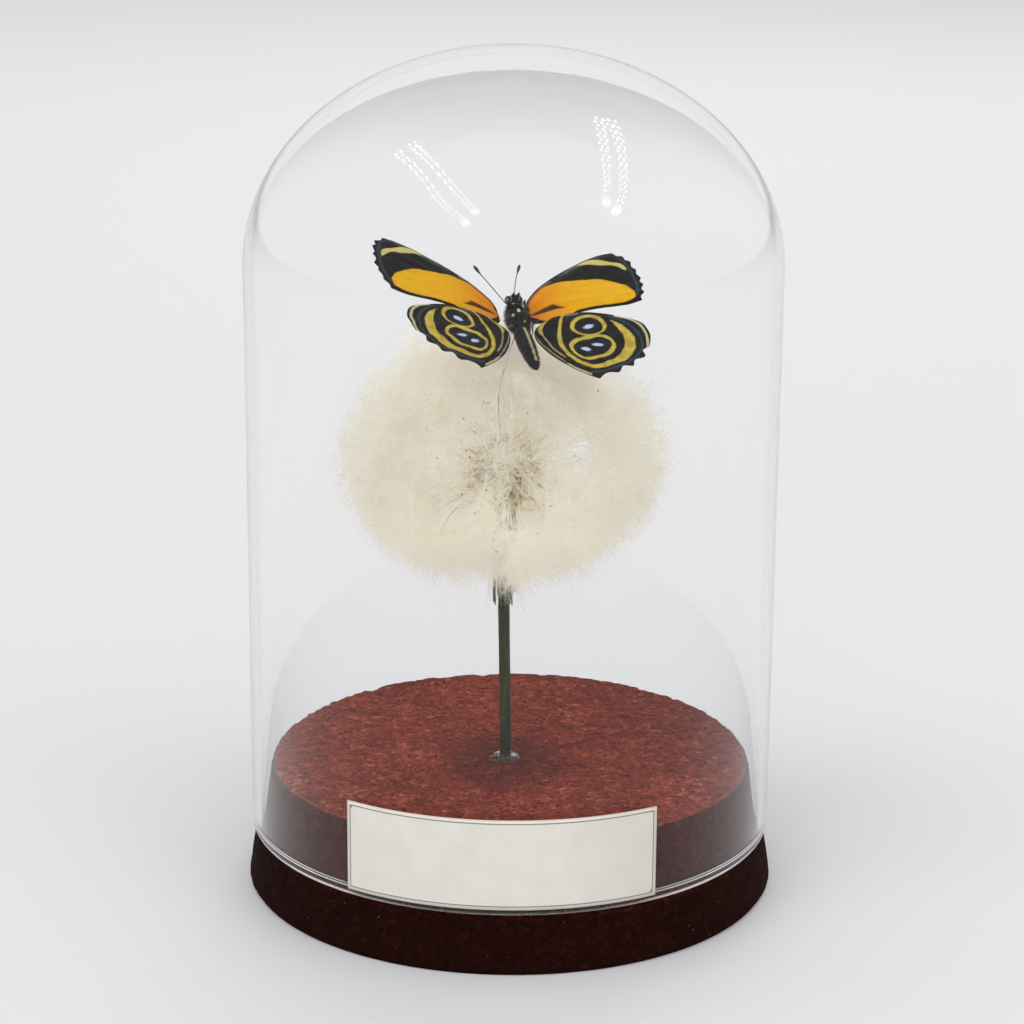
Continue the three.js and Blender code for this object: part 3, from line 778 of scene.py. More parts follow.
def plumes():
    """Where each plume of the seed head opens, which way it points, and how sparse it is."""
    count = PLUMES_BEFORE_STALK_GAP
    i = np.arange(count)
    height = 1 - 2 * (i + 0.5) / count
    turn = i * math.pi * (3 - math.sqrt(5)) + rng.normal(0, 0.14, count)
    ring = np.sqrt(1 - height**2)
    toward = unit(np.stack([ring * np.cos(turn), ring * np.sin(turn), height], axis=1))
    toward = toward[toward[:, 2] > -0.95]
    count = len(toward)
    surface = PUFF_CENTRE + toward * puff_reach(toward)[:, None]
    outward = unit(surface - SEED_BED)
    hollow = np.clip((toward @ FRONT - 0.91) / 0.07, 0, 1)
    loft = np.clip((toward[:, 2] + 0.05) / 0.8, 0, 1) * (1 - 0.6 * np.clip(toward @ FRONT / 0.7, 0, 1))
    depth = 7.0 * rng.beta(1.0, 2.1, count) + loft * rng.uniform(0, 5.0, count)
    depth = depth + 5.0 * hollow * rng.uniform(0.2, 1, count)
    depth = depth + rng.uniform(3.0, 7.0, count)
    return surface - outward * depth[:, None], outward, depth, 1 - 0.48 * loft - 0.42 * hollow


def seed_head():
    """Plumes of thin filaments with barbs, cut into four pieces round the stem, and what lies among them."""
    hubs, outward, depth, thick = plumes()
    count, filaments, steps = len(hubs), 32, 5
    lean = rng.uniform(0.45, 1.35, (count, filaments))
    around = rng.uniform(0, 2 * math.pi, (count, filaments))
    first = across(outward)
    second = np.cross(outward, first)
    spread = np.cos(around)[..., None] * first[:, None] + np.sin(around)[..., None] * second[:, None]
    length = rng.uniform(5.0, 9.0, (count, filaments))
    lift = np.minimum(depth[:, None] * rng.uniform(0.5, 1.0, lean.shape), length * np.cos(lean))
    s = np.linspace(0, 1, steps)
    paths = (
        hubs[:, None, None]
        + spread[:, :, None] * ((length * np.sin(lean))[..., None] * s)[..., None]
        + outward[:, None, None] * (lift[..., None] * s**1.4)[..., None]
    )
    keep = rng.random((count, filaments)) < thick[:, None]
    outs = np.broadcast_to(outward[:, None], spread.shape)[keep]
    paths, spreads = paths[keep], spread[keep]

    barbs, barb_half_width = 40, 0.0165
    at = rng.uniform(0.1, 1.0, (len(paths), barbs))
    span = np.minimum((at * (steps - 1)).astype(int), steps - 2)
    part = (at * (steps - 1) - span)[..., None]
    rows = np.arange(len(paths))[:, None]
    bases = paths[rows, span] * (1 - part) + paths[rows, span + 1] * part
    ahead = unit(paths[rows, span + 1] - paths[rows, span])
    sideways = np.cross(outs, spreads)[:, None] * rng.choice([-1, 1], (len(paths), barbs))[..., None]
    loose = rng.normal(0, 0.55, bases.shape)
    reach = rng.uniform(1.2, 3.4, (len(paths), barbs))[..., None]
    tips = bases + unit(0.75 * sideways + 0.6 * ahead + loose) * reach

    look = fibre_look("pappus_hair", rgb(255, 253, 246), rgb(252, 248, 235), 16.0, 0.2, 0.0)
    order = np.argsort(np.arctan2(outs[:, 1], outs[:, 0]), kind="stable")
    for k, chosen in enumerate(np.array_split(order, PUFF_PIECES)):
        shafts = paths[chosen]
        wide = across(unit(shafts[:, -1] - shafts[:, 0]))
        shaft_points, quads = ribbons(shafts, np.linspace(0.055, 0.02, steps), wide)
        root = bases[chosen].reshape(-1, 3)
        tip = tips[chosen].reshape(-1, 3)
        half = barb_half_width * across(unit(tip - root))
        barb_points = np.stack([root - half, root + half, tip], axis=1).reshape(-1, 3)
        barb_faces = np.arange(len(barb_points)).reshape(-1, 3) + len(shaft_points)
        points = tangle(np.vstack([shaft_points, barb_points]), 1.5)
        faces = np.vstack([quads[:, [0, 1, 2]], quads[:, [0, 2, 3]], barb_faces])
        build(f"pappus_{k}", (points, faces), look, "pappus", "seed_head")
    feet = SEED_BED + unit(hubs - SEED_BED) * 3.9
    straw = fibre_look("stalk_straw", rgb(252, 246, 228), rgb(240, 228, 196), 3.0, 0.06, 0.02)
    threads(feet, hubs, straw)
    seeds(feet, hubs)
    dark_grains()
    loose_hairs(straw)


def threads(feet, hubs, straw):
    """The stalks of the plumes and the white threads tangled round them."""
    steps = 7
    t = np.linspace(0, 1, steps)[None, :, None]
    stalks = (feet[:, None] * (1 - t) + hubs[:, None] * t).reshape(-1, 3)
    stalks = tangle(stalks, 2.8).reshape(-1, steps, 3)
    stalks += (feet - stalks[:, 0])[:, None] * (1 - t) ** 2
    parts = [tube(path, np.linspace(0.05, 0.02, steps), 4) for path in stalks]
    count = 150
    aim = unit(rng.normal(size=(count, 3)) + 1.6 * FRONT)
    start = SEED_BED + aim * rng.uniform(5.5, 10.0, count)[:, None]
    drift = unit(0.45 * aim + rng.normal(0, 0.7, (count, 3)))
    long = rng.uniform(3.0, 8.0, count)
    for begin, way, size in zip(start, drift, long):
        u = np.linspace(0, 1, 9)[:, None]
        path = tangle(tangle(begin + way * size * u, 1.6) + 0.3, 1.2)
        parts.append(tube(path, np.linspace(0.2, 0.1, 9), 6))
    build("white_threads", join(parts), straw, "pappus", "seed_head")


def seeds(feet, hubs):
    """A smooth spindle at the foot of each plume, tumbled."""
    girth = np.array([0.35, 0.75, 1, 1, 0.85, 0.6, 0.35, 0.16])
    parts = []
    for foot, hub in zip(feet, hubs):
        ahead = unit(unit(hub - foot) + rng.normal(0, 0.6, 3))
        size, fat = rng.uniform(2.8, 4.6), rng.uniform(0.36, 0.66)
        body = foot + np.outer(np.linspace(0, 1, 8) * size, ahead)
        parts.append(tube(body, fat * girth, 6))
    husk = Nodes("seed_husk")
    tone = husk.noise(1.1, 3.0)
    stops = [(0.35, rgb(160, 132, 76)), (0.5, rgb(198, 172, 112)), (0.7, rgb(226, 206, 154))]
    husk.set(Base_Color=husk.ramp(tone, stops), Roughness=0.75)
    husk.bump(tone, 0.5, 0.1)
    build("seeds", join(parts), husk, "seed", "seed_head")


def dark_grains():
    """Dark grains and a broken twig caught in the fluff on the front."""
    grains = []
    spots = unit(rng.normal(size=(46, 3)) * (0.42, 0.1, 0.42) + FRONT - (0, 0, 0.12))
    for spot in spots:
        at = PUFF_CENTRE + spot * puff_reach(spot[None])[0] * rng.uniform(0.62, 0.93)
        size = rng.uniform(0.08, 0.17)
        grains.append(ball(at, (size, size, 1.5 * size), 6, 4))
    twig = [(-12.8, -28.2, 76.0), (-12.0, -28.6, 78.0), (-11.0, -28.8, 79.8), (-9.6, -28.8, 81.4)]
    grains.append(tube(spline(twig, 14), np.linspace(0.02, 0.045, 14), 6))
    dark = Nodes("dark_grains")
    colour = dark.ramp(dark.noise(2.0, 2.0), [(0.35, rgb(112, 102, 82)), (0.65, rgb(156, 142, 114))])
    dark.set(Base_Color=colour, Roughness=0.8)
    build("dark_grains", join(grains), dark, "seed", "seed_head")


def loose_hairs(straw):
    """Hairs hanging round the top of the stalk."""
    count, steps = 130, 6
    turn = rng.uniform(0, 2 * math.pi, count)
    top = np.column_stack([-1.5 + 2.6 * np.cos(turn), 2.6 * np.sin(turn), rng.uniform(60, 70, count)])
    u = np.linspace(0, 1, steps)[None, :, None]
    fall = rng.uniform(4, 11, count)[:, None, None] * np.array([0, 0, -1.0])
    swing = rng.normal(0, 1.3, (count, 1, 3)) * (1, 1, 0.1)
    hairs = top[:, None] + fall * u + swing * u**2
    wide = across(unit(hairs[:, -1] - hairs[:, 0]))
    build("loose_hairs", ribbons(hairs, np.linspace(0.1, 0.04, steps), wide), straw, "pappus", "seed_head")


# ---- butterfly

BUTTERFLY = np.array(
    Matrix.Translation(THORAX)
    @ spin(BUTTERFLY_TURN[0], "X")
    @ spin(BUTTERFLY_TURN[1], "Y")
    @ spin(BUTTERFLY_TURN[2], "Z")
)


def to_world(points, local=None):
    matrix = BUTTERFLY if local is None else BUTTERFLY @ local
    return np.asarray(points) @ matrix[:3, :3].T + matrix[:3, 3]


def wing_matrix(side, dihedral, pitch, sweep):
    turn = spin(side * dihedral, "Y") @ spin(pitch, "X") @ spin(sweep, "Z")
    return np.array(Matrix.Translation((side * WING_ROOT, 0, 0)) @ turn)


# Outlines and markings are in the wing's own millimetres: outward from its root, and headwards.
FOREWING = {
    "centre": (14, 7.5),
    "notch": 0.42,
    "tips": [
        (22.7, 2.4), (23.7, 4.6), (24.2, 7), (24.4, 9.4), (24.2, 12), (23.8, 14.4), (22.9, 16.5),
        (21.1, 17.8),
    ],
    "smooth": [
        (18.6, 17.6), (15.6, 16.4), (12.2, 14.6), (9, 12.7), (5.9, 10.4), (3.3, 8), (1.6, 5.4), (1.2, 2.6),
        (1.6, -0.2), (4.8, -0.6), (8, 0.3), (12, 1.1), (16, 1.3), (20, 1.6),
    ],
    "veins": [
        [(1.5, 3), (8, 9), (15, 14.2), (21, 17)],
        [(1.5, 3), (8, 7.8), (12, 9.6), (18, 12.6), (23.4, 14.6)],
        [(8, 7.8), (13, 8.6), (18.5, 10), (24, 11)],
        [(8, 7.8), (13, 6.6), (19, 6.8), (24, 7)],
        [(1.5, 2), (8, 4), (14, 4.4), (23.6, 4.8)],
        [(1.5, 1.4), (8, 1.8), (15, 2.2), (22.5, 3)],
    ],
}
HINDWING = {
    "centre": (11, -7),
    "notch": 0.8,
    "tips": [(9.6, -17.5), (13.4, -16.2), (16.3, -15), (19, -12.9), (20.6, -10.2)],
    "smooth": [
        (21.4, -7.6), (21.3, -5.4), (20.4, -3.7), (18.8, -2.5), (16.7, -1.6), (14, -0.4), (11.5, 0.4),
        (8.6, 0.5), (5.8, 0.1), (3.6, -0.7), (1.4, -2.6), (0.8, -5), (1.8, -8.2), (3.3, -11), (5.1, -13.4),
        (7.2, -15.5),
    ],
    "veins": [
        [(1.2, -3), (8, -1.4), (14, -1.6), (20.6, -4.4)],
        [(1.2, -3), (7, -4.6), (13, -6.4), (21, -8)],
        [(1.2, -3), (7, -6.4), (13, -10), (19.6, -12.4)],
        [(1.2, -3.4), (6, -8.2), (11, -12.4), (15.6, -15.4)],
        [(1.2, -3.8), (4.6, -9), (8, -13.4), (10.4, -17)],
    ],
}


def wing_outline(form):
    """The outline as many short steps, with rounded teeth along the outer margin."""
    tips = np.array(form["tips"], float)
    centre = np.array(form["centre"], float)
    margin = []
    for k, tip in enumerate(tips):
        margin.append(tip)
        if k == len(tips) - 1:
            break
        middle = (tip + tips[k + 1]) / 2
        margin.append(middle - unit(middle - centre) * form["notch"])
    teeth = spline(margin, 12 * len(margin))
    rest = spline(np.vstack([margin[-1], form["smooth"], margin[0]]), 190)
    return np.vstack([teeth, rest[1:-1]])


def wing_plate(form, side):
    """A thin wing: points, faces, the points in the wing's plane, distance to a vein, skin of each face."""
    outline = wing_outline(form)
    columns, rings = len(outline), 64
    centre = np.array(form["centre"], float)
    reach = np.linspace(0, 1, rings + 1)[1:] ** 0.9
    plane = np.vstack([centre[None], *[centre + (outline - centre) * r for r in reach]])
    edge = np.concatenate([[1.0], np.repeat(1 - reach, columns)])
    root = np.hypot(plane[:, 0], plane[:, 1])
    lift = 0.35 * np.sin(math.pi * root / 26) - 0.2
    p3 = np.column_stack([plane, np.zeros(len(plane))])
    veins = np.min([line_distance(plane, v, 0.0) for v in form["veins"]], axis=0)
    folds = 0.10 * np.cos(np.clip(veins, 0, 1.6) / 1.6 * math.pi) - 0.05
    lift = lift + folds * np.clip(root / 8, 0, 1)
    lift = lift + 0.10 * grain(p3, 5.0, 31) + 0.05 * grain(p3, 1.9, 32)
    thick = WING_THICKNESS * np.clip(edge * 12, 0.25, 1)
    skins = []
    for sign in (1, -1):
        z = lift + sign * thick * 0.5 + 0.02
        skins.append(np.column_stack([side * plane[:, 0], plane[:, 1], z]))
    count = len(plane)
    faces = []
    for k in range(columns):
        n = (k + 1) % columns
        faces.append([0, 1 + k, 1 + n])
    for r in range(rings - 1):
        a = 1 + r * columns
        for k in range(columns):
            n = (k + 1) % columns
            faces.append([a + k, a + columns + k, a + columns + n, a + n])
    top = [f if side > 0 else f[::-1] for f in faces]
    bottom = [[v + count for v in f[::-1]] for f in top]
    rim = 1 + (rings - 1) * columns
    hem = []
    for k in range(columns):
        n = (k + 1) % columns
        quad = [rim + n, rim + k, rim + k + count, rim + n + count]
        hem.append(quad if side > 0 else quad[::-1])
    skin = [0] * len(top) + [1] * len(bottom) + [0] * len(hem)
    return np.vstack(skins), top + bottom + hem, np.vstack([plane, plane]), np.tile(veins, 2), skin


def forewing_fields(plane):
    patch = [
        (1.6, 4.6), (2.9, 7.2), (5.0, 9.1), (7.6, 10.1), (10, 10.3), (13, 10.1), (16, 9.8), (18.5, 8.9),
        (20.6, 7.4), (21.8, 5.6), (21.9, 4.0), (20.9, 2.8), (19, 2.2), (16, 1.95), (13, 1.8), (10.5, 1.5),
        (8.5, 0.6), (5, -0.2), (2.6, 0.6), (1.3, 2.0),
    ]
    streak = [
        (1.6, 2.0), (3.4, 2.9), (5.2, 3.7), (6.4, 4.1), (6.9, 3.5), (8.3, 2.7), (6.6, 2.6), (4.4, 2.1),
        (2.6, 1.8),
    ]
    band = [
        (13.6, 14.9), (15.2, 15.9), (16.8, 16.2), (19, 15.4), (21.2, 14.4), (22.3, 13.3), (22.4, 12.0),
        (21.4, 12.9), (19.9, 13.8), (18, 14.2), (15.9, 14.6),
    ]
    costa_dark = [(1.3, 3.2), (1.7, 5.2), (3.3, 7.7), (5.9, 10.1), (9.0, 12.3)]
    rim_line = [
        (19.6, 17.0), (21.7, 16.3), (22.7, 14.0), (23.05, 11.6), (23.1, 9.2), (22.95, 6.6), (22.3, 4.2),
    ]
    return {
        "patch": area_distance(plane, patch),
        "streak": area_distance(plane, streak),
        "band": area_distance(plane, band),
        "band_tail": line_distance(plane, [(10.8, 13.1), (12.4, 14.2), (14, 15.1)], 0.16),
        "costa": line_distance(plane, [(1.6, 4.4), (2.7, 6.6), (5.0, 9.1), (7.4, 10.9)], 0.1),
        "costa_dark": line_distance(plane, costa_dark, 0.42),
        "sheen": line_distance(plane, [(7.5, 11.2), (11, 13.2), (15.2, 15.7), (18.5, 17.0)], 0.55),
        "rim_line": line_distance(plane, rim_line, 0.22),
    }


def hindwing_fields(plane):
    ring_out = [
        (7.2, 1.2), (6.1, -0.7), (5.3, -3), (4.6, -5.3), (4.4, -7.6), (5.2, -10.6), (6.7, -13), (7.9, -14.2),
        (9.3, -15), (11.2, -14.8), (13, -14.4), (15.1, -13.7), (16.9, -12.3), (18.1, -10.3), (18.55, -8),
        (18.1, -5.7), (17.1, -3.8), (15.4, -2.5), (14.6, -2.2),
    ]
    ring_in = [
        (15.3, -3.0), (15.9, -4.6), (16.4, -6.6), (16.3, -8.6), (15.9, -9.9), (14.8, -11.5), (13.2, -12.7),
        (11.1, -13.5), (9.2, -13.7), (7.6, -12.6), (6.2, -10.5), (5.5, -8), (5.6, -5.5), (6.1, -3.1),
        (6.9, -0.8), (7.9, 1.0),
    ]
    inner = [
        (5.0, 0.2), (4.0, -0.7), (3.0, -2.0), (2.5, -3.3), (2.4, -4.6), (2.0, -4.3), (1.7, -3.4), (2.1, -2.2),
        (3.1, -0.9), (4.2, 0.2),
    ]
    eye_low = [
        (7.1, -8.3), (8.5, -7.3), (10.4, -6.95), (12.1, -6.8), (13.5, -7.6), (13.9, -8.8), (13, -10.3),
        (11.2, -11.3), (9.2, -11.6), (7.8, -10.9), (7.1, -9.6),
    ]
    eye_low_ring = [
        (6.3, -7.8), (7.5, -6.5), (9.2, -6.0), (11, -6.0), (12.8, -6.2), (14.3, -7.4), (14.7, -9.3),
        (13.6, -11.2), (11.5, -12.2), (9.4, -12.5), (7.6, -11.7), (6.4, -9.7),
    ]
    cream = [
        (16.4, -1.6), (18.4, -2.6), (20.0, -4.2), (20.7, -6.2), (20.6, -8.4), (20.2, -10.4), (19.7, -11.6),
    ]
    rim_line = [
        (15.2, -1.6), (17.2, -3.1), (18.7, -4.8), (19.35, -6.6), (19.45, -8.8), (18.9, -11), (17.2, -12.9),
        (14.7, -14.4), (12.2, -15.2), (9.8, -15.9), (8.7, -15.5),
    ]
    pupils = [
        ((10.95, -3.5), (0.95, 0.5), 14),
        ((9.0, -9.5), (0.85, 0.5), -24),
        ((11.4, -8.75), (0.95, 0.45), -10),
    ]
    return {
        "ring": area_distance(plane, ring_out + ring_in, smooth=False) + 0.13,
        "inner": area_distance(plane, inner),
        "inner_tail": line_distance(plane, [(2.2, -4.2), (2.8, -6.6), (3.6, -8.8), (4.9, -11)], 0.13),
        "fold_a": line_distance(plane, [(0.9, -4.4), (1.7, -6.8), (3.1, -9.6), (4.6, -12)], 0.11),
        "fold_b": line_distance(plane, [(4.9, -12.6), (6.4, -14.3), (8.4, -16.1)], 0.17),
        "eye_a": oval_distance(plane, (10.95, -3.55), (2.6, 2.25)),
        "eye_a_ring": oval_distance(plane, (10.95, -3.35), (3.25, 2.82)),
        "eye_b": area_distance(plane, eye_low) - 0.1,
        "eye_b_ring": area_distance(plane, eye_low_ring) + 0.08,
        "pupils": np.min([oval_distance(plane, *pupil) for pupil in pupils], axis=0),
        "cream": line_distance(plane, cream, 0.24),
        "rim_line": line_distance(plane, rim_line, 0.2),
        "vein_bar": line_distance(plane, [(7.3, 0.2), (9.0, 0.1), (9.9, 0.4)], 0.16),
    }


def scales(look):
    """Rows of tiny scales: fine bump, and the jitter that frays the edges of the markings."""
    rows = look.noise(0.16, 2.0, 0.7)
    soft = look.noise(0.55, 3.0)
    vein = look.step(look.field("veins"), 0.02, 0.22)
    look.bump(look.math("MULTIPLY_ADD", vein, 1.6, rows), 0.35, 0.09)
    centred = look.math("SUBTRACT", look.math("ADD", rows, soft), 1.0)
    return look.times(centred, 0.34)


def painted(look, colour, jitter, marks):
    """Lays markings over a ground colour: (field, paint, edge softness, opacity)."""
    for field, paint, soft, opacity in marks:
        distance = look.math("ADD", look.field(field), jitter)
        colour = look.tint(colour, paint, look.step(distance, -soft, soft), opacity)
    return colour


def paint_wing(look, size, dark, light, marks):
    """A dark mottled ground with markings whose edges are frayed by the scales."""
    ground = look.ramp(look.noise(size, 3.0), [(0.35, dark), (0.7, light)])
    look.set(Base_Color=painted(look, ground, scales(look), marks))
    return look.material


def forewing_looks():
    """The materials of the underside, which the photo shows, and of the upper side."""
    belly = Nodes("forewing_belly")
    near_root = [(0.0, rgb(182, 92, 2)), (0.2, rgb(202, 130, 0))]
    warm = belly.ramp(
        belly.field("root"), near_root + [(0.42, rgb(210, 156, 0)), (0.9, rgb(210, 164, 0))]
    )
    warm = belly.tint(warm, rgb(186, 108, 4), belly.step(belly.noise(0.8, 3.0, 0.5), 0.36, 0.5), 0.25)
    warm = belly.tint(warm, rgb(150, 84, 8), belly.step(belly.field("veins"), 0.03, 0.16), 0.22)
    marks = [
        ("sheen", rgb(52, 64, 68), 0.5, 0.75),
        ("patch", warm, 0.14, 1.0),
        ("costa_dark", rgb(22, 10, 6), 0.18, 0.95),
        ("costa", rgb(176, 120, 56), 0.12, 0.75),
        ("streak", rgb(40, 14, 5), 0.28, 0.95),
        ("band", rgb(190, 174, 104), 0.12, 1.0),
        ("band_tail", rgb(120, 122, 104), 0.14, 0.7),
        ("rim_line", rgb(60, 68, 82), 0.2, 0.62),
    ]
    belly.set(Roughness=0.65, Specular_IOR_Level=0.05)
    back = Nodes("forewing_back")
    back.set(Roughness=0.5, Specular_IOR_Level=0.5)
    back_marks = [
        ("patch", rgb(206, 66, 14), 0.3, 1.0),
        ("streak", rgb(20, 14, 14), 0.5, 1.0),
        ("band", rgb(60, 56, 60), 0.3, 0.8),
    ]
    return (
        paint_wing(belly, 3.2, rgb(3, 2, 2), rgb(14, 8, 8), marks),
        paint_wing(back, 3.2, rgb(10, 9, 11), rgb(24, 22, 28), back_marks),
    )


def hindwing_looks():
    """The materials of the ringed underside and of the upper side."""
    belly = Nodes("hindwing_belly")
    gold = belly.mix(belly.step(belly.noise(1.6, 3.0), 0.35, 0.6), rgb(186, 164, 66), rgb(160, 138, 48))
    gold = belly.tint(gold, rgb(84, 64, 28), belly.step(belly.field("veins"), 0.02, 0.1), 0.3)
    iris = belly.mix(belly.step(belly.noise(1.2, 2.0), 0.4, 0.6), rgb(4, 4, 6), rgb(8, 11, 20))
    marks = [
        ("ring", gold, 0.1, 1.0),
        ("inner", gold, 0.1, 0.95),
        ("inner_tail", rgb(172, 160, 104), 0.08, 0.8),
        ("fold_a", rgb(166, 148, 116), 0.1, 0.75),
        ("fold_b", rgb(196, 180, 132), 0.1, 0.85),
        ("eye_a_ring", gold, 0.09, 1.0),
        ("eye_b_ring", gold, 0.09, 1.0),
        ("eye_a", iris, 0.08, 1.0),
        ("eye_b", iris, 0.08, 1.0),
        ("pupils", rgb(176, 188, 216), 0.14, 1.0),
        ("rim_line", rgb(48, 66, 80), 0.2, 0.7),
        ("cream", rgb(190, 178, 136), 0.1, 0.9),
        ("vein_bar", rgb(150, 150, 160), 0.12, 0.6),
    ]
    belly.set(Roughness=0.65, Specular_IOR_Level=0.05)
    back = Nodes("hindwing_back")
    back.set(Roughness=0.42, Specular_IOR_Level=0.6)
    back_marks = [("eye_b_ring", rgb(24, 52, 118), 1.2, 0.9), ("rim_line", rgb(60, 70, 86), 0.4, 0.7)]
    return (
        paint_wing(belly, 3.0, rgb(3, 2, 2), rgb(16, 8, 8), marks),
        paint_wing(back, 3.2, rgb(10, 9, 11), rgb(26, 24, 30), back_marks),
    )


def wings():
    """Four wings, each turned on its own root; the hindwings overlap the forewings on the side seen."""
    looks = {"forewing": forewing_looks(), "hindwing": hindwing_looks()}
    turns = {
        ("forewing", 1): (-0.132, -0.011, 0.01),
        ("forewing", -1): (-0.289, 0.025, 0.01),
        ("hindwing", 1): (-0.129, 0.042, -0.007),
        ("hindwing", -1): (-0.291, -0.022, -0.016),
    }
    for (kind, side), turn in turns.items():
        form = FOREWING if kind == "forewing" else HINDWING
        points, faces, plane, veins, skin = wing_plate(form, side)
        points[:, 2] += WING_LAYER if kind == "hindwing" else -WING_LAYER
        name = f"{'right' if side > 0 else 'left'}_{kind}"
        mesh = mesh_from(f"{name}_scales", to_world(points, wing_matrix(side, *turn)), faces)
        fields = forewing_fields(plane) if kind == "forewing" else hindwing_fields(plane)
        add_floats(mesh, veins=veins, root=plane[:, 0] / 25, **fields)
        place(f"{name}_scales", mesh, looks[kind], kind, name)
        mesh.polygons.foreach_set("material_index", np.array(skin, np.int32))


def leg(side, hip, knee, ankle, toe):
    points = [(BODY_SHIFT + side * x, y, z) for x, y, z in (hip, knee, ankle, toe)]
    path = []
    for a, b in zip(points, points[1:]):
        path += [np.array(a) + (np.array(b) - np.array(a)) * t for t in np.linspace(0, 1, 7)[:-1]]
    path.append(np.array(points[-1]))
    return tube(np.array(path), np.linspace(0.27, 0.1, len(path)), 8)


def body_shape():
    """Head, thorax, ringed abdomen, palps and folded legs in the butterfly's own millimetres."""
    stations = [0, 0.3, 1.8, 4, 6.2, 8.2, 10, 11.4, 11.95, 12.2]
    length = np.linspace(0, stations[-1], 90)
    radii = np.interp(length, stations, [0, 1.0, 1.45, 1.5, 1.42, 1.28, 1.02, 0.7, 0.4, 0])
    rings = 1 - 0.05 * np.abs(np.cos(math.pi * length / 1.45)) ** 6
    vertices, faces = revolve(list(zip((radii * rings).tolist(), length.tolist())), 36)
    turn = np.array(Matrix.Rotation(0.022, 3, "Z") @ Matrix.Rotation(math.pi / 2 - 0.02, 3, "X"))
    vertices = vertices * np.array([1, 1.04, 1]) @ turn.T + np.array([BODY_SHIFT - 0.35, -2, 0.1])
    parts = [
        (vertices, faces),
        ball((BODY_SHIFT, 0.9, 0), (1.95, 3.6, 1.8), 40, 24),
        ball((BODY_SHIFT, 2.2, 0.5), (1.75, 2.0, 1.5), 32, 20),
        ball((BODY_SHIFT + 0.15, 5.15, 0.5), (1.2, 1.25, 1.2), 32, 20),
    ]
    for eye, side in zip(EYES, (-1, 1)):
        parts.append(ball(eye, (0.68, 0.88, 0.84), 28, 18))
        palp = [(0.9 + 0.35 * side, 5.2, 1.2), (0.9 + 0.45 * side, 5.4, 1.8), (0.9 + 0.38 * side, 5.4, 2.3)]
        parts.append(tube(spline(palp, 9), [0.3, 0.36, 0.38, 0.36, 0.33, 0.28, 0.22, 0.15, 0.08], 8))
        parts.append(leg(side, (0.7, 1.8, 1.3), (1.5, 3.2, 2.3), (0.9, 0.6, 2.5), (0.6, -2, 2.3)))
        parts.append(leg(side, (0.7, -0.6, 1.4), (2.9, -2.1, 2.0), (1.3, -3.6, 2.2), (0.8, -6.2, 1.9)))
    return join(parts)


def remeshed(vertices, faces, voxel):
    """One continuous skin round overlapping shapes."""
    rough = add_object("rough", mesh_from("rough", vertices, faces))
    remesh = rough.modifiers.new("skin", "REMESH")
    remesh.mode = "VOXEL"
    remesh.voxel_size = voxel * MM
    soften = rough.modifiers.new("soft", "SMOOTH")
    soften.factor = 0.5
    soften.iterations = 2
    graph = bpy.context.evaluated_depsgraph_get()
    made = bpy.data.meshes.new_from_object(rough.evaluated_get(graph))
    bpy.data.objects.remove(rough)
    count = len(made.vertices)
    points = np.empty(3 * count)
    made.vertices.foreach_get("co", points)
    return made, points.reshape(-1, 3) / MM


# Tufts of pale scales on the thorax.
PALE_SPOTS = [
    (-0.2, 3.3, 1.7), (1.6, 2.2, 1.6), (1.9, 1.2, 1.4), (0.4, 1.0, 1.9), (-0.9, 0.2, 1.6), (1.2, -1.4, 1.6),
    (-0.6, 4.4, 1.3),
]


def nearest(points, centres, semi=1.0):
    """Distance to the nearest of some centres, in shares of the half-widths given."""
    return np.min([np.linalg.norm((points - np.array(c)) / semi, axis=1) for c in centres], axis=0)


def butterfly_body():
    """The body's skin with its colours; returns its points in the butterfly's own millimetres."""
    mesh, points = remeshed(*body_shape(), 0.11)
    mesh.vertices.foreach_set("co", (to_world(points) * MM).ravel())
    smooth(mesh)
    x, y, z = points.T
    middle = BODY_SHIFT - 0.35 + 0.022 * (-y - 2)
    stripe = np.where((y < -3.4) & (z > 0), np.abs(x - middle - 0.2) - 0.26, 1.0)
    stripe = np.maximum(stripe, -12.6 - y)
    eyes = nearest(points, EYES, (0.72, 0.92, 0.88)) - 1
    pale = nearest(points, PALE_SPOTS) - 0.38
    add_floats(mesh, stripe=stripe, eyes=eyes, eye_rim=eyes - 0.12, pale=pale)
    look = Nodes("insect_cuticle")
    fine = look.noise(0.3, 3.0)
    ground = look.ramp(fine, [(0.3, rgb(5, 4, 4)), (0.7, rgb(20, 15, 12))])
    jitter = look.times(look.math("SUBTRACT", look.noise(0.5, 2.0), 0.5), 0.5)
    marks = [
        ("stripe", rgb(176, 168, 122), 0.08, 0.95),
        ("pale", rgb(214, 206, 178), 0.12, 0.95),
        ("eye_rim", rgb(168, 164, 150), 0.06, 0.8),
        ("eyes", rgb(24, 15, 10), 0.05, 1.0),
    ]
    look.set(Base_Color=painted(look, ground, jitter, marks), Roughness=0.5, Specular_IOR_Level=0.12)
    look.bump(fine, 0.6, 0.12)
    place("body_skin", mesh, [look.material], "insect_body", "butterfly_body")
    return points


def fur(name, roots, outward, lengths, width, look, sweep=(0, -0.6, 0)):
    """Short tapering hairs in the butterfly's own millimetres."""
    s = np.linspace(0, 1, 4)
    lean = unit(outward + np.array(sweep) + rng.normal(0, 0.35, roots.shape))
    droop = rng.normal(0, 0.18, roots.shape) + np.array(sweep) * 0.25
    grow = lengths[:, None, None]
    paths = roots[:, None] + lean[:, None] * grow * s[:, None] + droop[:, None] * grow * (s**2)[:, None]
    points, faces = ribbons(paths, width * np.array([1, 0.9, 0.6, 0.15]), across(lean))
    build(name, (to_world(points), faces), look, "insect_body")


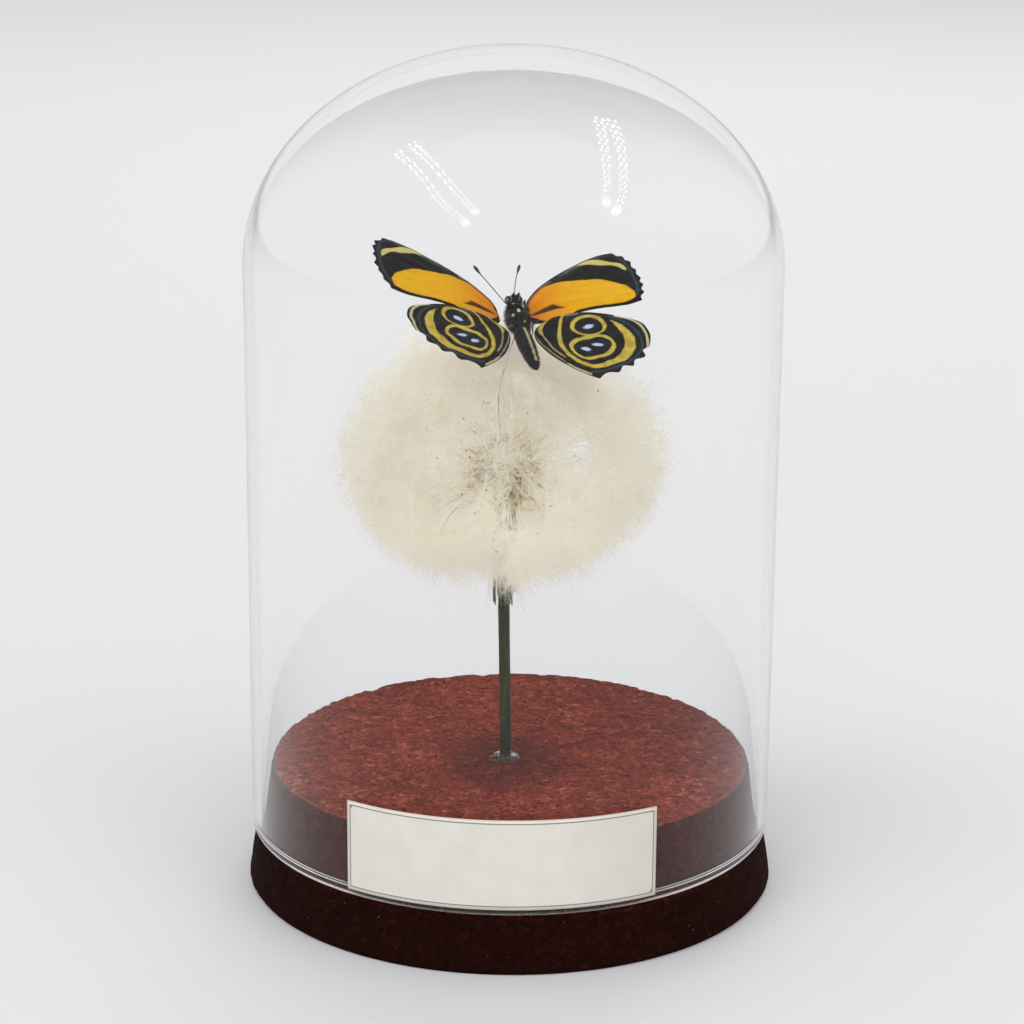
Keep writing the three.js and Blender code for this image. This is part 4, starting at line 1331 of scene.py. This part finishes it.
def butterfly_hair(skin):
    """Dark hair on thorax, head and abdomen, cream hair at the wing bases."""
    thorax = np.linalg.norm((skin - (BODY_SHIFT, 0.9, 0)) / (2.0, 3.7, 1.85), axis=1) < 1.12
    head = (skin[:, 1] > 3.8) & (skin[:, 1] < 6.6)
    bald = (nearest(skin, EYES, (0.75, 0.95, 0.92)) <= 1.03) | (nearest(skin, PALE_SPOTS) <= 0.55)
    grow = np.flatnonzero((thorax | head) & ~bald)
    roots = skin[rng.choice(grow, 5200)]
    out = unit((roots - (BODY_SHIFT, 1.5, 0)) * (1, 0.35, 1))
    dark = fibre_look("dark_hair", rgb(22, 17, 14), rgb(7, 6, 5), 0.6)
    long = rng.uniform(0.35, 0.95, len(roots)) * np.where(roots[:, 1] > 4.2, 0.5, 1)
    fur("body_hair", roots, out, long, 0.05, dark)
    belly = np.flatnonzero((skin[:, 1] < -2.5) & (skin[:, 1] > -13))
    roots = skin[rng.choice(belly, 3000)]
    out = unit((roots - (BODY_SHIFT - 0.1, 0, 0.1)) * (1, 0, 1))
    fur("abdomen_hair", roots, out, rng.uniform(0.18, 0.4, len(roots)), 0.04, dark, sweep=(0, -1.4, 0))
    cream = fibre_look("cream_hair", rgb(190, 176, 128), rgb(120, 104, 70), 0.6)
    roots, outs = [], []
    for side, low, high in ((1, -2.8, 3.8), (-1, -3.0, 3.4)):
        count = 50
        y = rng.uniform(low, high, count)
        z = rng.uniform(-0.2, 1.3, count)
        taper = np.sqrt(np.clip(1 - (y / 5) ** 2, 0.2, 1))
        x = BODY_SHIFT + side * (1.55 + 0.25 * rng.uniform(-1, 1, count)) * taper
        roots.append(np.column_stack([x, y, z]))
        outs.append(np.tile([side, -0.35, 0.1], (count, 1)))
    roots, outs = np.vstack(roots), np.vstack(outs)
    fur("wing_base_hair", roots, outs, rng.uniform(0.8, 2.2, len(roots)), 0.05, cream)


def antennae():
    """Two thin ringed stalks that end in clubs."""
    look = Nodes("antenna_skin")
    bands = look.noise(0.5, 2.0)
    look.set(Base_Color=look.ramp(bands, [(0.4, rgb(16, 13, 11)), (0.75, rgb(70, 64, 56))]), Roughness=0.5)
    look.bump(bands, 0.3, 0.05)
    routes = {
        "left_antenna": [
            (-0.45, 6.15, -0.5), (-1.6, 9.3, -0.25), (-2.9, 12.9, 0.0), (-3.5, 14.5, 0.1), (-4.2, 16.85, 0.2),
        ],
        "right_antenna": [
            (1, 6.75, -0.3), (1.9, 9.4, -0.05), (3.0, 12.9, 0.2), (3.6, 14.4, 0.3), (4.55, 16.75, 0.4),
        ],
    }
    for name, route in routes.items():
        path = spline(route, 60)
        t = np.linspace(0, 1, 60)
        radii = np.interp(t, [0, 0.05, 0.7, 0.8, 0.9, 0.97, 1], [0.11, 0.085, 0.085, 0.2, 0.32, 0.24, 0.05])
        radii = radii * (1 + 0.08 * np.sin(t * 190) * (t < 0.72))
        vertices, faces = tube(path, radii, 12)
        build(f"{name}_skin", (to_world(vertices), faces), look, "insect_body", name)


def pin():
    """A bent wire from the thorax through the fluff to the seed bed."""
    top = to_world([(BODY_SHIFT, 0, -1.6)])[0]
    route = [top, (-0.8, -12.5, 105.6), (-2.6, -7.5, 96.4), (-1.9, -0.6, 83.6)]
    look = Nodes("dark_wire")
    colour = look.ramp(look.noise(1.2, 3.0), [(0.35, rgb(138, 134, 126)), (0.7, rgb(184, 180, 170))])
    look.set(Base_Color=colour, Metallic=0.3, Roughness=0.45)
    build("pin_wire", tube(spline(route, 50), 0.11, 12), look, "wire", "mounting_pin")


camera_and_world()
floor_and_softboxes()
lamp_strips()
glass_dome()
cork_base()
paper_label()
flower_stem()
dried_glue()
seed_bed()
bract_leaves()
seed_head()
wings()
butterfly_hair(butterfly_body())
antennae()
pin()
